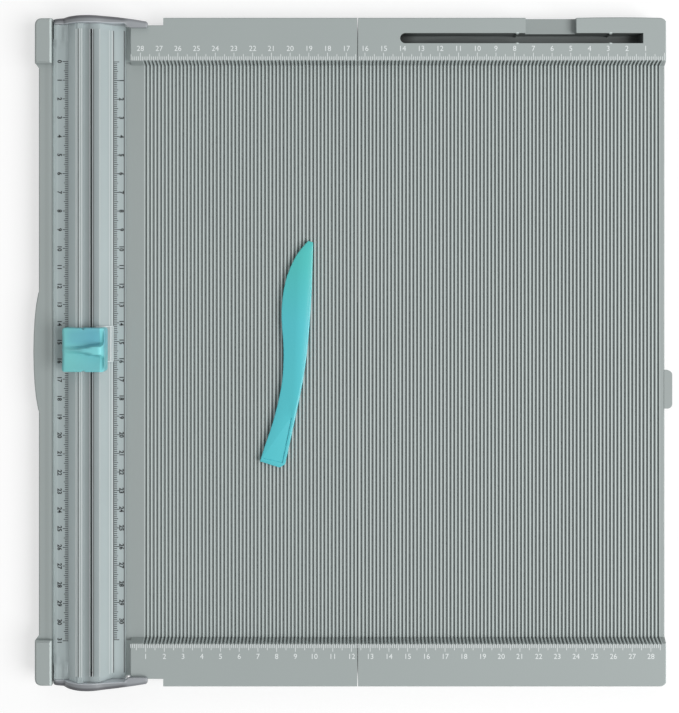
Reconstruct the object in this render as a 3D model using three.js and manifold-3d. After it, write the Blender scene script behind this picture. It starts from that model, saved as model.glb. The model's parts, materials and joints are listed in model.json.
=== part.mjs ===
// A folding scoring board with a trimming arm, a blade carriage and a loose scoring tool.
// Millimetres, +Z up. The origin is on the table under the middle of the board, and +Y is the rear.
import * as THREE from 'three';
import { mergeVertices } from 'three/addons/utils/BufferGeometryUtils.js';
import Module from 'manifold-3d';

const wasm = await Module();
wasm.setup();

// Fits
const clearance = 0.3;
const runningGap = 0.4;
const cutOverrun = 1;

// The board as a whole
const overallWidth = 344;
const boardDepth = 357.6;
const bulgeReach = 3;
const tabReach = 4.1;
const seamPlace = 2.4;
const seamGap = 0.4;
const cornerRadius = 4;

// Levels above the table
const footHeight = 3.4;
const deckTop = 11;
const marginTop = 13;
const blockTop = 16.4;
const railTop = 17;

const edgeChamfer = 0.6;

// Rails at the rear and the front
const railWidth = 24.8;
const railFaceRun = 1.75;
const railChamfer = 0.6;
const railGapFromArm = 2.9;
const railStepFromArm = 20.7;
const railStepDepth = 4;
const railEndDraft = 0.6;
const rearBow = 0.3;

// Scoring grooves, which also notch the rails' inner faces
const groovePitch = 2;
const grooveWidth = 1.25;
const grooveDepth = 0.85;
const leftGrooveCount = 57;
const rightGrooveCount = 81;

// Walls under the deck
const deckThickness = 2.4;
const skirtWall = 2.4;
const seamWall = 4;
const ribThickness = 1.5;
const cellColumns = 5;
const cellRows = 11;

// Fold hinge: knuckles on steel pins below the seam
const foldAxisDrop = 0.4;
const knuckleRadius = 2.6;
const knuckleLength = 10;
const knuckleEndWall = 2;
const knucklesPerHinge = 5;
const foldPinRadius = 1.2;
const hingeEndInset = 60;

// Feet
const footRadius = 5.5;
const footTopRadius = 6;
const footStemRadius = 2;
const footStemLength = 3;
const footBossRadius = 7;

// Left margin, its grip bulge and the corner blocks
const marginWidth = 7.5;
const bulgeHalfLength = 35;
const blockOverhang = 1.5;
const blockLength = 24.25;
const blockRadius = 4;
const blockDiagonal = 2.5;
const blockBevel = 1;

// Arm
const armEndInset = 3.6;
const armGapOverDeck = 0.4;
const armWingTop = 16;
const armCrownTop = 20.5;
const armWall = 2;
const armWingWidth = 8.4;
const armSlopeRun = 4.7;
const beadInset = 1.1;
const beadWidth = 3.3;
const beadHeight = 1.5;
const beadRounding = 0.4;
const slotGapFromBead = 4;
const slotWidth = 1;
const slotEndWall = 5;
const crownBeyondSlot = 4.4;
const farSlopeRun = 5.7;
const farSlopeFoot = 3.2;
const ledgeWidth = 0.4;
const ledgeDrop = 0.4;
const rightWingWidth = 6.6;
const armEdgeChamfer = 0.8;

// Arm pivot at the left: a pin through each end cap, an ear of the board and the arm's wing
const pivotInset = 2.4;
const pivotLift = 2.2;
const pivotPinRadius = 0.8;
const pivotPinReach = 12;
const earRadius = 1.7;
const earThickness = 7;
const reliefDepth = 1.3;
const reliefWidth = 7;

// End caps with their lifting tabs
const capEndThickness = 2.6;
const capMiddleThickness = 3.6;
const tabEndThickness = 0.9;
const tabInset = 2.4;
const tabEndRadius = 1.4;
const capPlateThickness = 1.9;
const capTabReach = 12.7;
const capDrop = 4.9;
const capRim = 0.8;
const capCrest = 22.9;
const tabThickness = 2.6;
const tabRoot = 2.8;
const plugLength = 2.6;
const capScrewPlace = 7;
const capScrewRadius = 1;
const capScrewHeadRadius = 1.8;
const capScrewHeadHeight = 0.9;
const capScrewLength = 9;

// Cutting strip under the blade
const stripWidth = 3.2;
const stripThickness = 1.5;
const stripGrooveDepth = 1;
const stripEndInset = 2.5;

// Carriage
const carriageInset = 7;
const carriageWidth = 22.9;
const carriageLength = 23.3;
const carriagePlace = 1.9;
const carriageNotchWidth = 1.8;
const carriageNotchDepth = 1.3;
const carriageTop = 32;
const carriageRadius = 1.4;
const finFoot = 26.2;
const scoopFloor = 25.3;
const scoopRimLeft = 27;
const scoopRimRight = 28.6;
const rimRounding = 0.7;

// Blade, its cartridge, the keeper under the slot and the clear sight plate
const bladeThickness = 0.4;
const bladeWidth = 6.4;
const bladeTip = 10.5;
const cartridgeWidth = 5;
const cartridgeLength = 8.4;
const cartridgeTop = 23.6;
const keeperWidth = 6;
const keeperLength = 16;
const keeperThickness = 1.6;
const keeperFinLength = 2;
const keeperFinTop = 23.6;
const sightThickness = 0.8;
const sightReach = 3.7;
const sightFront = 8.2;
const sightRear = 12.1;

// Tool slot in the rear rail, its nibs and the finger notch behind it
const toolSlotStart = 25.1;
const toolSlotEnd = 155.1;
const toolSlotWidth = 5.5;
const toolSlotInset = 8.2;
const toolSlotFloor = 5.6;
const slotCasing = 1.6;
const nibRadius = 1.1;
const nibReach = 0.65;
const nibPlaceShares = [0.483, 0.867];
const nibTop = 16.2;
const notchStartShare = 0.516;
const notchEndShare = 0.725;
const notchFloor = 12.6;

// Scoring tool
const toolWidth = 28.5;
const toolLength = 122.9;
const toolPlaceX = -50;
const toolPlaceY = -62.2;
const toolThickness = 2.8;
const toolEdgeBevel = 0.6;
const toolMarkWidth = 0.5;
const toolMarkDepth = 0.5;

// Places that follow from the sizes above
const leftEdge = -overallWidth / 2 + bulgeReach;
const rightEdge = overallWidth / 2 - tabReach;
const leftSeam = seamPlace - seamGap / 2;
const rightSeam = seamPlace + seamGap / 2;
const railOuter = boardDepth / 2;
const railInner = railOuter - railWidth;
const steppedOuter = railOuter - railStepDepth;
const deckUnderside = deckTop - deckThickness;
const marginInner = leftEdge + marginWidth;
const slotPlace = armWingWidth + armSlopeRun + beadInset + beadWidth + slotGapFromBead;
const crownWidth = slotPlace + crownBeyondSlot;
const armWidth = crownWidth + farSlopeRun + ledgeWidth + rightWingWidth;
const armLeft = marginInner + runningGap + clearance;
const armRight = armLeft + armWidth;
const armBottom = deckTop + armGapOverDeck;
const slotX = armLeft + slotPlace;
const pivotX = armLeft + pivotInset;
const pivotZ = deckTop + pivotLift;
const reliefFloor = deckTop - reliefDepth;
const foldAxisZ = footHeight - foldAxisDrop;
const railStart = armRight + railGapFromArm;
const railStepPlace = armRight + railStepFromArm;
const armHalfLength = railOuter - armEndInset;
const slotHalfLength = armHalfLength - slotEndWall;
const stripHalfLength = armHalfLength - stripEndInset;
const capInner = armHalfLength + clearance;
const innerChannelTop = armCrownTop - armWall;
const screwZ = (armBottom + armWingTop) / 2;
const tabTop = railTop + clearance + tabThickness;

const clearPlastic = new THREE.MeshStandardMaterial({
  color: '#c9d3d5', roughness: 0.15, metalness: 0, transparent: true, opacity: 0.5,
});
const boardPlastic = new THREE.MeshStandardMaterial({ color: '#a5adab', roughness: 0.55, metalness: 0 });
const capPlastic = new THREE.MeshStandardMaterial({ color: '#85888a', roughness: 0.45, metalness: 0 });
const tealPlastic = new THREE.MeshStandardMaterial({ color: '#62c2c9', roughness: 0.4, metalness: 0 });
const darkPlastic = new THREE.MeshStandardMaterial({ color: '#2b2a2e', roughness: 0.7, metalness: 0 });
const rubber = new THREE.MeshStandardMaterial({ color: '#3a3b3d', roughness: 0.9, metalness: 0 });
const steel = new THREE.MeshStandardMaterial({ color: '#b9bcc0', roughness: 0.3, metalness: 1 });

// Solids from three.js geometry, and back
function solidOf(geometry) {
  const bare = geometry.clone();
  for (const name of ['normal', 'uv']) {
    bare.deleteAttribute(name);
  }
  const merged = mergeVertices(bare);
  return new wasm.Manifold(new wasm.Mesh({
    numProp: 3,
    vertProperties: new Float32Array(merged.attributes.position.array),
    triVerts: new Uint32Array(merged.index.array),
  }));
}

function geometryOf(solid) {
  const mesh = solid.getMesh();
  const geometry = new THREE.BufferGeometry();
  geometry.setAttribute('position', new THREE.BufferAttribute(mesh.vertProperties, mesh.numProp));
  geometry.setIndex(new THREE.BufferAttribute(mesh.triVerts, 1));
  geometry.computeVertexNormals();
  return geometry;
}

function joined(solids) {
  return solids.reduce((whole, solid) => whole.add(solid));
}

function cut(solid, cutters) {
  return cutters.reduce((whole, cutter) => whole.subtract(cutter), solid);
}

function shapeOf(points) {
  return new THREE.Shape(points.map(([across, along]) => new THREE.Vector2(across, along)));
}

function extrusion(shape, length) {
  return new THREE.ExtrudeGeometry(shape, { depth: length, bevelEnabled: false, curveSegments: 10 });
}

// A plan shape (x, y) raised from one level to another.
function raised(shape, bottom, top) {
  return solidOf(extrusion(shape, top - bottom).translate(0, 0, bottom));
}

// A plan shape raised with the edges of its two faces chamfered inside its outline.
function chamfered(shape, bottom, top, chamfer) {
  const geometry = new THREE.ExtrudeGeometry(shape, {
    depth: top - bottom - 2 * chamfer, curveSegments: 10,
    bevelEnabled: true, bevelThickness: chamfer, bevelSize: chamfer, bevelOffset: -chamfer, bevelSegments: 1,
  });
  return solidOf(geometry.translate(0, 0, bottom + chamfer));
}

// An elevation shape (x, z) run from front to rear.
function runBack(shape, front, rear) {
  return solidOf(extrusion(shape, rear - front).rotateX(Math.PI / 2).translate(0, rear, 0));
}

// A section (y, z) run from left to right.
function runAcross(shape, left, right) {
  const turn = new THREE.Matrix4().makeBasis(
    new THREE.Vector3(0, 1, 0), new THREE.Vector3(0, 0, 1), new THREE.Vector3(1, 0, 0));
  return solidOf(extrusion(shape, right - left).applyMatrix4(turn).translate(left, 0, 0));
}

function block([left, right], [front, rear], [bottom, top]) {
  const geometry = new THREE.BoxGeometry(right - left, rear - front, top - bottom);
  return solidOf(geometry.translate((left + right) / 2, (front + rear) / 2, (bottom + top) / 2));
}

// A round bar along Y.
function rod(radius, x, z, front, rear, sides = 16) {
  const geometry = new THREE.CylinderGeometry(radius, radius, rear - front, sides);
  return solidOf(geometry.translate(x, (front + rear) / 2, z));
}

// A revolved profile of [radius, height] points that starts and ends on the axis, standing along Z.
function turned(profile, sides) {
  const points = profile.map(([radius, height]) => new THREE.Vector2(radius, height));
  return new THREE.LatheGeometry(points, sides).rotateX(Math.PI / 2);
}

// A span on the rear side (side 1) or, mirrored, on the front side (side -1).
function sideSpan(side, near, far) {
  return side > 0 ? [near, far] : [-far, -near];
}

// Grooves: V-shaped cuts that run along the deck and turn up both rails' inner faces.
function grooveCutter(places) {
  const faceLength = Math.hypot(railFaceRun, railTop - deckTop);
  const faceUp = [railFaceRun / faceLength, (railTop - deckTop) / faceLength];
  const corner = (side, offset) => {
    const share = offset / (1 + faceUp[0]);
    return [side * (railInner - share * faceUp[1]), deckTop + share * (1 + faceUp[0])];
  };
  const head = (side, offset) => {
    const reach = faceLength + cutOverrun;
    return [
      side * (railInner + faceUp[0] * reach - faceUp[1] * offset), deckTop + faceUp[1] * reach + faceUp[0] * offset,
    ];
  };
  const mouth = (grooveWidth / 2) * (1 + clearance / grooveDepth);
  const vertices = [];
  const triangles = [];
  for (const x of places) {
    const first = vertices.length / 3;
    for (const [point, side] of [[head, -1], [corner, -1], [corner, 1], [head, 1]]) {
      const [outer, inner] = [point(side, clearance), point(side, -grooveDepth)];
      vertices.push(x - mouth, ...outer, x + mouth, ...outer, x, ...inner);
    }
    for (let ring = 0; ring < 3; ring += 1) {
      for (let edge = 0; edge < 3; edge += 1) {
        const here = first + ring * 3 + edge;
        const beside = first + ring * 3 + ((edge + 1) % 3);
        triangles.push(here, beside, here + 3, beside, beside + 3, here + 3);
      }
    }
    const last = first + 9;
    triangles.push(first, first + 2, first + 1, last, last + 1, last + 2);
  }
  const geometry = new THREE.BufferGeometry();
  geometry.setAttribute('position', new THREE.Float32BufferAttribute(vertices, 3));
  geometry.setIndex(triangles);
  return solidOf(geometry);
}

// One rail as a section (y, z), its outer wall at the given distance from the middle.
function railSection(side, outer) {
  return shapeOf([
    [side * railInner, footHeight], [side * outer, footHeight],
    [side * outer, railTop - railChamfer], [side * (outer - railChamfer), railTop],
    [side * (railInner + railFaceRun), railTop], [side * railInner, deckTop],
  ]);
}

// Open cells between the ribs under the deck.
function cellShapes(left, right) {
  const reach = steppedOuter - skirtWall;
  const pitchX = (right - left + ribThickness) / cellColumns;
  const pitchY = (2 * reach + ribThickness) / cellRows;
  const cells = [];
  for (let column = 0; column < cellColumns; column += 1) {
    for (let row = 0; row < cellRows; row += 1) {
      const x = left + column * pitchX;
      const y = -reach + row * pitchY;
      const [farX, farY] = [x + pitchX - ribThickness, y + pitchY - ribThickness];
      cells.push({ column, row, x: (x + farX) / 2, y: (y + farY) / 2,
        shape: shapeOf([[x, y], [farX, y], [farX, farY], [x, farY]]) });
    }
  }
  return cells;
}

function hollowUnder(cells) {
  return raised(cells.map((cell) => cell.shape), footHeight - cutOverrun, deckUnderside);
}

// Feet stand in the outer columns of cells, in rows that the other half leaves open when it is folded under.
const leftCells = cellShapes(leftEdge + skirtWall, leftSeam - seamWall);
const rightCells = cellShapes(rightSeam + seamWall, rightEdge - skirtWall);
const leftFootRows = [0, (cellRows - 1) / 2, cellRows - 1];
const rightFootRows = [1, cellRows - 2];
const outerColumns = [0, cellColumns - 1];
const isFootCell = (rows) => (cell) => rows.includes(cell.row) && outerColumns.includes(cell.column);
const leftFeet = leftCells.filter(isFootCell(leftFootRows));
const rightFeet = rightCells.filter(isFootCell(rightFootRows));

function footBosses(feet) {
  return feet.map(({ x, y }) => {
    const height = deckUnderside - footHeight + cutOverrun / 2;
    const boss = new THREE.CylinderGeometry(footBossRadius, footBossRadius, height, 16).rotateX(Math.PI / 2);
    return solidOf(boss.translate(x, y, footHeight + height / 2));
  });
}

function stemHoles(feet) {
  const height = footStemLength + clearance;
  const radius = footStemRadius + clearance;
  return feet.map(({ x, y }) => {
    const hole = new THREE.CylinderGeometry(radius, radius, height + cutOverrun, 10).rotateX(Math.PI / 2);
    return solidOf(hole.translate(x, y, footHeight + (height - cutOverrun) / 2));
  });
}

function foot() {
  return turned([
    [0, 0], [footRadius - clearance, 0], [footRadius, clearance], [footTopRadius, footHeight - clearance],
    [footStemRadius, footHeight - clearance], [footStemRadius, footHeight + footStemLength - clearance],
    [0, footHeight + footStemLength - clearance],
  ], 16);
}

// Fold hinge: knuckles of the two halves stand in turn along a steel pin.
const knucklePitch = knuckleLength + runningGap;
const hingeLength = knucklesPerHinge * knucklePitch - runningGap;
const hingeSpacing = railOuter - hingeEndInset;
const hingePlaces = [hingeSpacing, 0, -hingeSpacing];

function knuckleSpans(parity) {
  const spans = [];
  for (const place of hingePlaces) {
    for (let index = parity; index < knucklesPerHinge; index += 2) {
      const front = place - hingeLength / 2 + index * knucklePitch;
      spans.push([front, front + knuckleLength]);
    }
  }
  return spans;
}

function knuckles(parity) {
  return knuckleSpans(parity).map(([front, rear]) => rod(knuckleRadius, seamPlace, foldAxisZ, front, rear));
}

function knuckleRelief(parity) {
  return knuckleSpans(parity).map(([front, rear]) => rod(
    knuckleRadius + runningGap, seamPlace, foldAxisZ, front - runningGap, rear + runningGap));
}

function foldPinBores() {
  const half = hingeLength / 2 - knuckleEndWall;
  return hingePlaces.map((y) => rod(foldPinRadius + clearance, seamPlace, foldAxisZ, y - half, y + half));
}

function foldPin(y) {
  const half = hingeLength / 2 - knuckleEndWall - clearance;
  return rod(foldPinRadius, seamPlace, foldAxisZ, y - half, y + half);
}

// A prism that takes the upper edge off a flat top at x, on the side that faces out.
function edgeCut(x, top, outward, reach) {
  const [inner, outer] = [x - outward * (edgeChamfer + cutOverrun), x + outward * cutOverrun];
  return runBack(shapeOf([
    [inner, top + cutOverrun], [outer, top - edgeChamfer - cutOverrun], [outer, top + cutOverrun],
  ]), -reach, reach);
}

// Corner block beside the arm's end cap, with a bevelled top.
function cornerBlock(side) {
  const right = marginInner;
  const left = leftEdge - blockOverhang;
  const near = side * (railOuter - blockLength);
  const far = side * railOuter;
  const plan = new THREE.Shape();
  plan.moveTo(right, near);
  plan.lineTo(left, near);
  plan.lineTo(left, far - side * blockRadius);
  plan.quadraticCurveTo(left, far, left + blockRadius, far);
  plan.lineTo(right, far);
  const foot = shapeOf([
    [left, near], [leftEdge + clearance, near - side * blockDiagonal],
    [right, near - side * blockDiagonal], [right, near + side * blockDiagonal], [left, near + side * blockDiagonal],
  ]);
  return joined([
    chamfered(plan, footHeight, blockTop, blockBevel),
    raised(foot, footHeight, marginTop),
  ]);
}

// A bulge of this curve reaches three quarters of the way to its handles.
const bulgeCrestShare = 0.75;
const bulgeHandleShare = 0.72;

function gripBulge() {
  const rootInset = clearance + edgeChamfer;
  const root = leftEdge + rootInset;
  const handle = root - (bulgeReach + rootInset) / bulgeCrestShare;
  const bend = bulgeHalfLength * bulgeHandleShare;
  const shape = new THREE.Shape();
  shape.moveTo(root, -bulgeHalfLength);
  shape.lineTo(root, bulgeHalfLength);
  shape.bezierCurveTo(handle, bend, handle, -bend, root, -bulgeHalfLength);
  return chamfered(shape, footHeight, marginTop, edgeChamfer);
}

// Ear that rises from the board inside the arm's wing and carries the pivot pin.
function ear(side) {
  const [front, rear] = sideSpan(side, steppedOuter - earThickness, steppedOuter);
  return cut(joined([
    block([pivotX - earRadius, pivotX + earRadius], [front, rear], [reliefFloor - clearance, pivotZ]),
    rod(earRadius, pivotX, pivotZ, front, rear),
  ]), [rod(pivotPinRadius + clearance, pivotX, pivotZ, front - cutOverrun, rear + cutOverrun)]);
}

function leftBoard() {
  const blockInner = railOuter - blockLength;
  const endSection = shapeOf([
    [railStart, footHeight], [railStart, railTop - railChamfer], [railStart + railChamfer, railTop],
    [leftSeam, railTop], [leftSeam, footHeight],
  ]);
  const rails = [1, -1].map((side) => runAcross(railSection(side, railOuter), railStepPlace, leftSeam)
    .add(runAcross(railSection(side, steppedOuter), railStart, railStepPlace + cutOverrun))
    .intersect(runBack(endSection, -boardDepth, boardDepth)));
  const body = joined([
    block([leftEdge, leftSeam], [-steppedOuter, steppedOuter], [footHeight, deckTop]),
    block([leftEdge, marginInner], [-blockInner, blockInner], [footHeight, marginTop])
      .subtract(edgeCut(leftEdge, marginTop, -1, boardDepth)),
    ...rails, cornerBlock(1), cornerBlock(-1), gripBulge(),
  ]);
  const reliefReach = boardDepth;
  const relief = block([marginInner, marginInner + reliefWidth], [-reliefReach, reliefReach],
    [reliefFloor, deckTop + cutOverrun]);
  const stripReach = stripHalfLength + clearance;
  const stripBed = block(
    [slotX - stripWidth / 2 - clearance, slotX + stripWidth / 2 + clearance], [-stripReach, stripReach],
    [deckTop - stripThickness - clearance, deckTop + cutOverrun]);
  const places = Array.from({ length: leftGrooveCount }, (_, index) => seamPlace - (index + 1) * groovePitch);
  const open = cut(body, [relief, stripBed, hollowUnder(leftCells), grooveCutter(places)]);
  const carried = joined([open, ...footBosses(leftFeet), ear(1), ear(-1)]);
  return cut(cut(carried, knuckleRelief(1)).add(joined(knuckles(0))), [...foldPinBores(), ...stemHoles(leftFeet)]);
}

// Right half
const toolSlotRear = railOuter - toolSlotInset;
const toolSlotFront = toolSlotRear - toolSlotWidth;
const toolSlotLength = toolSlotEnd - toolSlotStart;
const notchStart = toolSlotStart + notchStartShare * toolSlotLength;
const notchEnd = toolSlotStart + notchEndShare * toolSlotLength;

function toolSlotCut() {
  const radius = toolSlotWidth / 2;
  const shape = new THREE.Shape();
  shape.moveTo(toolSlotEnd, toolSlotRear);
  shape.lineTo(toolSlotStart + radius, toolSlotRear);
  shape.absarc(toolSlotStart + radius, toolSlotRear - radius, radius, Math.PI / 2, Math.PI * 1.5, false);
  shape.lineTo(toolSlotEnd, toolSlotFront);
  return raised(shape, toolSlotFloor, railTop + cutOverrun);
}

function slotNibs() {
  const nibs = [];
  for (const share of nibPlaceShares) {
    for (const [wall, side] of [[toolSlotFront, -1], [toolSlotRear, 1]]) {
      const height = nibTop - toolSlotFloor + clearance;
      const nib = new THREE.CylinderGeometry(nibRadius, nibRadius, height, 12).rotateX(Math.PI / 2);
      nibs.push(solidOf(nib.translate(
        toolSlotStart + share * toolSlotLength, wall + side * (nibRadius - nibReach), nibTop - height / 2)));
    }
  }
  return nibs;
}

// The outline of the right half, which bows out a little beside the finger notch.
function rightPlan() {
  const shape = new THREE.Shape();
  shape.moveTo(rightSeam - cutOverrun, -railOuter);
  shape.lineTo(rightEdge - cornerRadius, -railOuter);
  shape.absarc(rightEdge - cornerRadius, -railOuter + cornerRadius, cornerRadius, -Math.PI / 2, 0, false);
  shape.lineTo(rightEdge, railOuter - cornerRadius);
  shape.absarc(rightEdge - cornerRadius, railOuter - cornerRadius, cornerRadius, 0, Math.PI / 2, false);
  shape.quadraticCurveTo((notchEnd + rightEdge - cornerRadius) / 2, railOuter + 2 * rearBow, notchEnd, railOuter);
  shape.lineTo(rightSeam - cutOverrun, railOuter);
  return shape;
}

// Finger tab at the right edge
const fingerTabFront = -30.9;
const fingerTabLength = 20.7;
const fingerTabRadius = 2.6;
const fingerTabThickness = 3.2;

function fingerTab() {
  const [right, front, rear] = [rightEdge + tabReach, fingerTabFront, fingerTabFront + fingerTabLength];
  const shape = new THREE.Shape();
  shape.moveTo(rightEdge - clearance, front);
  shape.lineTo(right - fingerTabRadius, front);
  shape.absarc(right - fingerTabRadius, front + fingerTabRadius, fingerTabRadius, -Math.PI / 2, 0, false);
  shape.absarc(right - fingerTabRadius, rear - fingerTabRadius, fingerTabRadius, 0, Math.PI / 2, false);
  shape.lineTo(rightEdge - clearance, rear);
  return raised(shape, deckTop - fingerTabThickness, deckTop);
}

function rightBoard() {
  const endSection = shapeOf([
    [rightSeam, footHeight], [rightSeam, railTop], [rightEdge - railEndDraft - railChamfer, railTop],
    [rightEdge - railEndDraft, railTop - railChamfer], [rightEdge, deckTop], [rightEdge, footHeight],
  ]);
  const rails = [1, -1].map((side) => runAcross(railSection(side, railOuter + cutOverrun), rightSeam, rightEdge)
    .intersect(runBack(endSection, -boardDepth, boardDepth)));
  const slotBox = block([toolSlotStart - slotCasing, toolSlotEnd + slotCasing],
    [toolSlotFront - slotCasing, toolSlotRear + slotCasing], [footHeight, deckTop]);
  const notch = block([notchStart, notchEnd], [toolSlotRear - clearance, railOuter + cutOverrun],
    [notchFloor, railTop + cutOverrun]);
  const places = Array.from({ length: rightGrooveCount }, (_, index) => seamPlace + (index + 1) * groovePitch);
  const deck = block([rightSeam, rightEdge], [-railInner, railInner], [footHeight, deckTop])
    .subtract(edgeCut(rightEdge, deckTop, 1, railInner));
  const body = joined([deck, ...rails]).intersect(chamfered(rightPlan(), 0, railTop, railChamfer));
  const open = cut(body.add(fingerTab()), [hollowUnder(rightCells), grooveCutter(places)]);
  const slotted = cut(joined([open, slotBox, ...footBosses(rightFeet)]), [toolSlotCut(), notch]);
  const carried = cut(joined([slotted, ...slotNibs()]), knuckleRelief(0)).add(joined(knuckles(1)));
  return cut(carried, [...foldPinBores(), ...stemHoles(rightFeet)]);
}

// Cutting strip: a dark inlay with a groove that the blade runs in.
function cuttingStrip() {
  const top = deckTop - clearance / 3;
  const strip = block([slotX - stripWidth / 2, slotX + stripWidth / 2], [-stripHalfLength, stripHalfLength],
    [deckTop - stripThickness, top]);
  const half = bladeThickness / 2 + clearance;
  return strip.subtract(block([slotX - half, slotX + half], [-boardDepth, boardDepth],
    [top - stripGrooveDepth, deckTop + cutOverrun]));
}

// A gap square to the arm's steepest slope lifts a line by this share of it.
const slopeLiftShare = 1.45;

// The arm's upper profile from left to right, lifted and widened by a gap for what rides on it.
function armTopLine(gap) {
  const lift = gap * slopeLiftShare;
  const slopeFoot = armLeft + armWingWidth;
  const slopeHead = slopeFoot + armSlopeRun;
  const beadLeft = slopeHead + beadInset;
  const farFoot = armLeft + crownWidth + farSlopeRun;
  const ledge = armBottom + farSlopeFoot - ledgeDrop;
  return [
    [slopeFoot, armWingTop + lift], [slopeHead, armCrownTop + lift],
    [beadLeft - gap, armCrownTop + lift],
    [beadLeft - gap, armCrownTop + beadHeight - beadRounding + lift],
    [beadLeft - gap + beadRounding, armCrownTop + beadHeight + lift],
    [beadLeft + beadWidth + gap - beadRounding, armCrownTop + beadHeight + lift],
    [beadLeft + beadWidth + gap, armCrownTop + beadHeight - beadRounding + lift],
    [beadLeft + beadWidth + gap, armCrownTop + lift],
    [armLeft + crownWidth, armCrownTop + lift],
    [farFoot, armBottom + farSlopeFoot - clearance + lift],
    [farFoot + ledgeWidth, armBottom + farSlopeFoot - clearance + lift],
    [farFoot + ledgeWidth + clearance, ledge + lift],
  ];
}

// The rounded left edge of the wing, kept inside one radius about the pivot.
const wingTurnShare = 0.96;
const wingSteps = 4;

function wingEdge(radius) {
  const points = [];
  for (let step = 0; step <= wingSteps; step += 1) {
    const angle = Math.PI - (step / wingSteps) * (Math.PI / 2) * wingTurnShare;
    points.push([
      pivotX + pivotInset * Math.cos(angle),
      pivotZ + radius * Math.sin(angle),
    ]);
  }
  return points;
}

function armSection() {
  const channelLeft = armLeft + armWingWidth + armWall;
  const channelRight = armLeft + crownWidth + farSlopeRun - armWall / 4;
  const slopeStart = innerChannelTop - armSlopeRun + armWall / 2;
  return shapeOf([
    [armLeft, armBottom], ...wingEdge(armWingTop - pivotZ), ...armTopLine(0),
    [armRight - armEdgeChamfer, armBottom + farSlopeFoot - ledgeDrop],
    [armRight, armBottom + farSlopeFoot - ledgeDrop - armEdgeChamfer], [armRight, armBottom],
    [channelRight, armBottom], [armLeft + crownWidth - armWall / 2, innerChannelTop],
    [channelLeft + armSlopeRun - armWall / 2, innerChannelTop], [channelLeft, slopeStart], [channelLeft, armBottom],
  ]);
}

function rulerArm() {
  const pocketHalf = earRadius + runningGap;
  const cutters = [block([slotX - slotWidth / 2, slotX + slotWidth / 2], [-slotHalfLength, slotHalfLength],
    [armBottom - cutOverrun, armCrownTop + cutOverrun])];
  for (const side of [1, -1]) {
    const [front, rear] = sideSpan(side, steppedOuter - earThickness - runningGap, armHalfLength + cutOverrun);
    cutters.push(block([armLeft - cutOverrun, pivotX + pocketHalf], [front, rear],
      [armBottom - cutOverrun, pivotZ + pocketHalf]));
    const [pinFront, pinRear] = sideSpan(side, capInner - pivotPinReach - clearance, armHalfLength);
    cutters.push(rod(pivotPinRadius + clearance, pivotX, pivotZ, pinFront, pinRear));
    const [boreFront, boreRear] = sideSpan(side, armHalfLength - capScrewLength, armHalfLength + cutOverrun);
    cutters.push(rod(capScrewRadius + clearance, armLeft + capScrewPlace, screwZ, boreFront, boreRear));
  }
  return cut(runBack(armSection(), -armHalfLength, armHalfLength), cutters);
}

// End cap: a plate that arches over the arm's outline, a lifting tab and a plug in the arm's channel.
const capArchShares = [
  [0.11, 0.5], [0.27, 0.87], [0.42, 1], [0.58, 0.97], [0.8, 0.72],
];

function capElevation() {
  const tabEnd = armRight + capTabReach;
  const tabBottom = tabTop - tabThickness;
  const rimStart = pivotX + blockTop - pivotZ + clearance;
  const archEnd = armRight - rightWingWidth / 2;
  const arch = capArchShares.map(([across, up]) => new THREE.Vector2(
    rimStart + across * (archEnd - rimStart), armWingTop + up * (capCrest - armWingTop)));
  const curve = new THREE.SplineCurve(
    [new THREE.Vector2(rimStart, armWingTop), ...arch, new THREE.Vector2(armRight, tabTop)]);
  return shapeOf([
    [armLeft, armBottom - capDrop], ...wingEdge(armWingTop - pivotZ),
    ...curve.getPoints(18).map(({ x, y }) => [x, y]),
    [tabEnd - capRim, tabTop], [tabEnd, tabTop - capRim], [tabEnd, tabBottom + capRim], [tabEnd - capRim, tabBottom],
    [armRight + tabRoot, tabBottom], [armRight, tabBottom - tabRoot], [armRight, armBottom - capDrop],
  ]);
}

// The cap seen from above: an arc outside, and a tab with a round end that lies over the rail.
function capPlan(side) {
  const tabEnd = armRight + capTabReach;
  const bend = 2 * capMiddleThickness - (capEndThickness + tabEndThickness) / 2;
  const at = (x, reach) => [x, side * (capInner + reach)];
  const plan = new THREE.Shape();
  plan.moveTo(...at(armLeft, 0));
  plan.lineTo(...at(armLeft, capEndThickness));
  plan.quadraticCurveTo(...at((armLeft + tabEnd) / 2, bend), ...at(tabEnd - tabEndRadius, tabEndThickness));
  plan.quadraticCurveTo(...at(tabEnd, tabEndThickness), ...at(tabEnd, tabEndThickness - tabEndRadius));
  plan.quadraticCurveTo(...at(tabEnd, -tabInset), ...at(tabEnd - tabEndRadius, -tabInset));
  plan.lineTo(...at(armRight + railGapFromArm, -tabInset));
  plan.lineTo(...at(armRight + clearance, -clearance));
  plan.lineTo(...at(armRight + clearance, 0));
  return plan;
}

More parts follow.
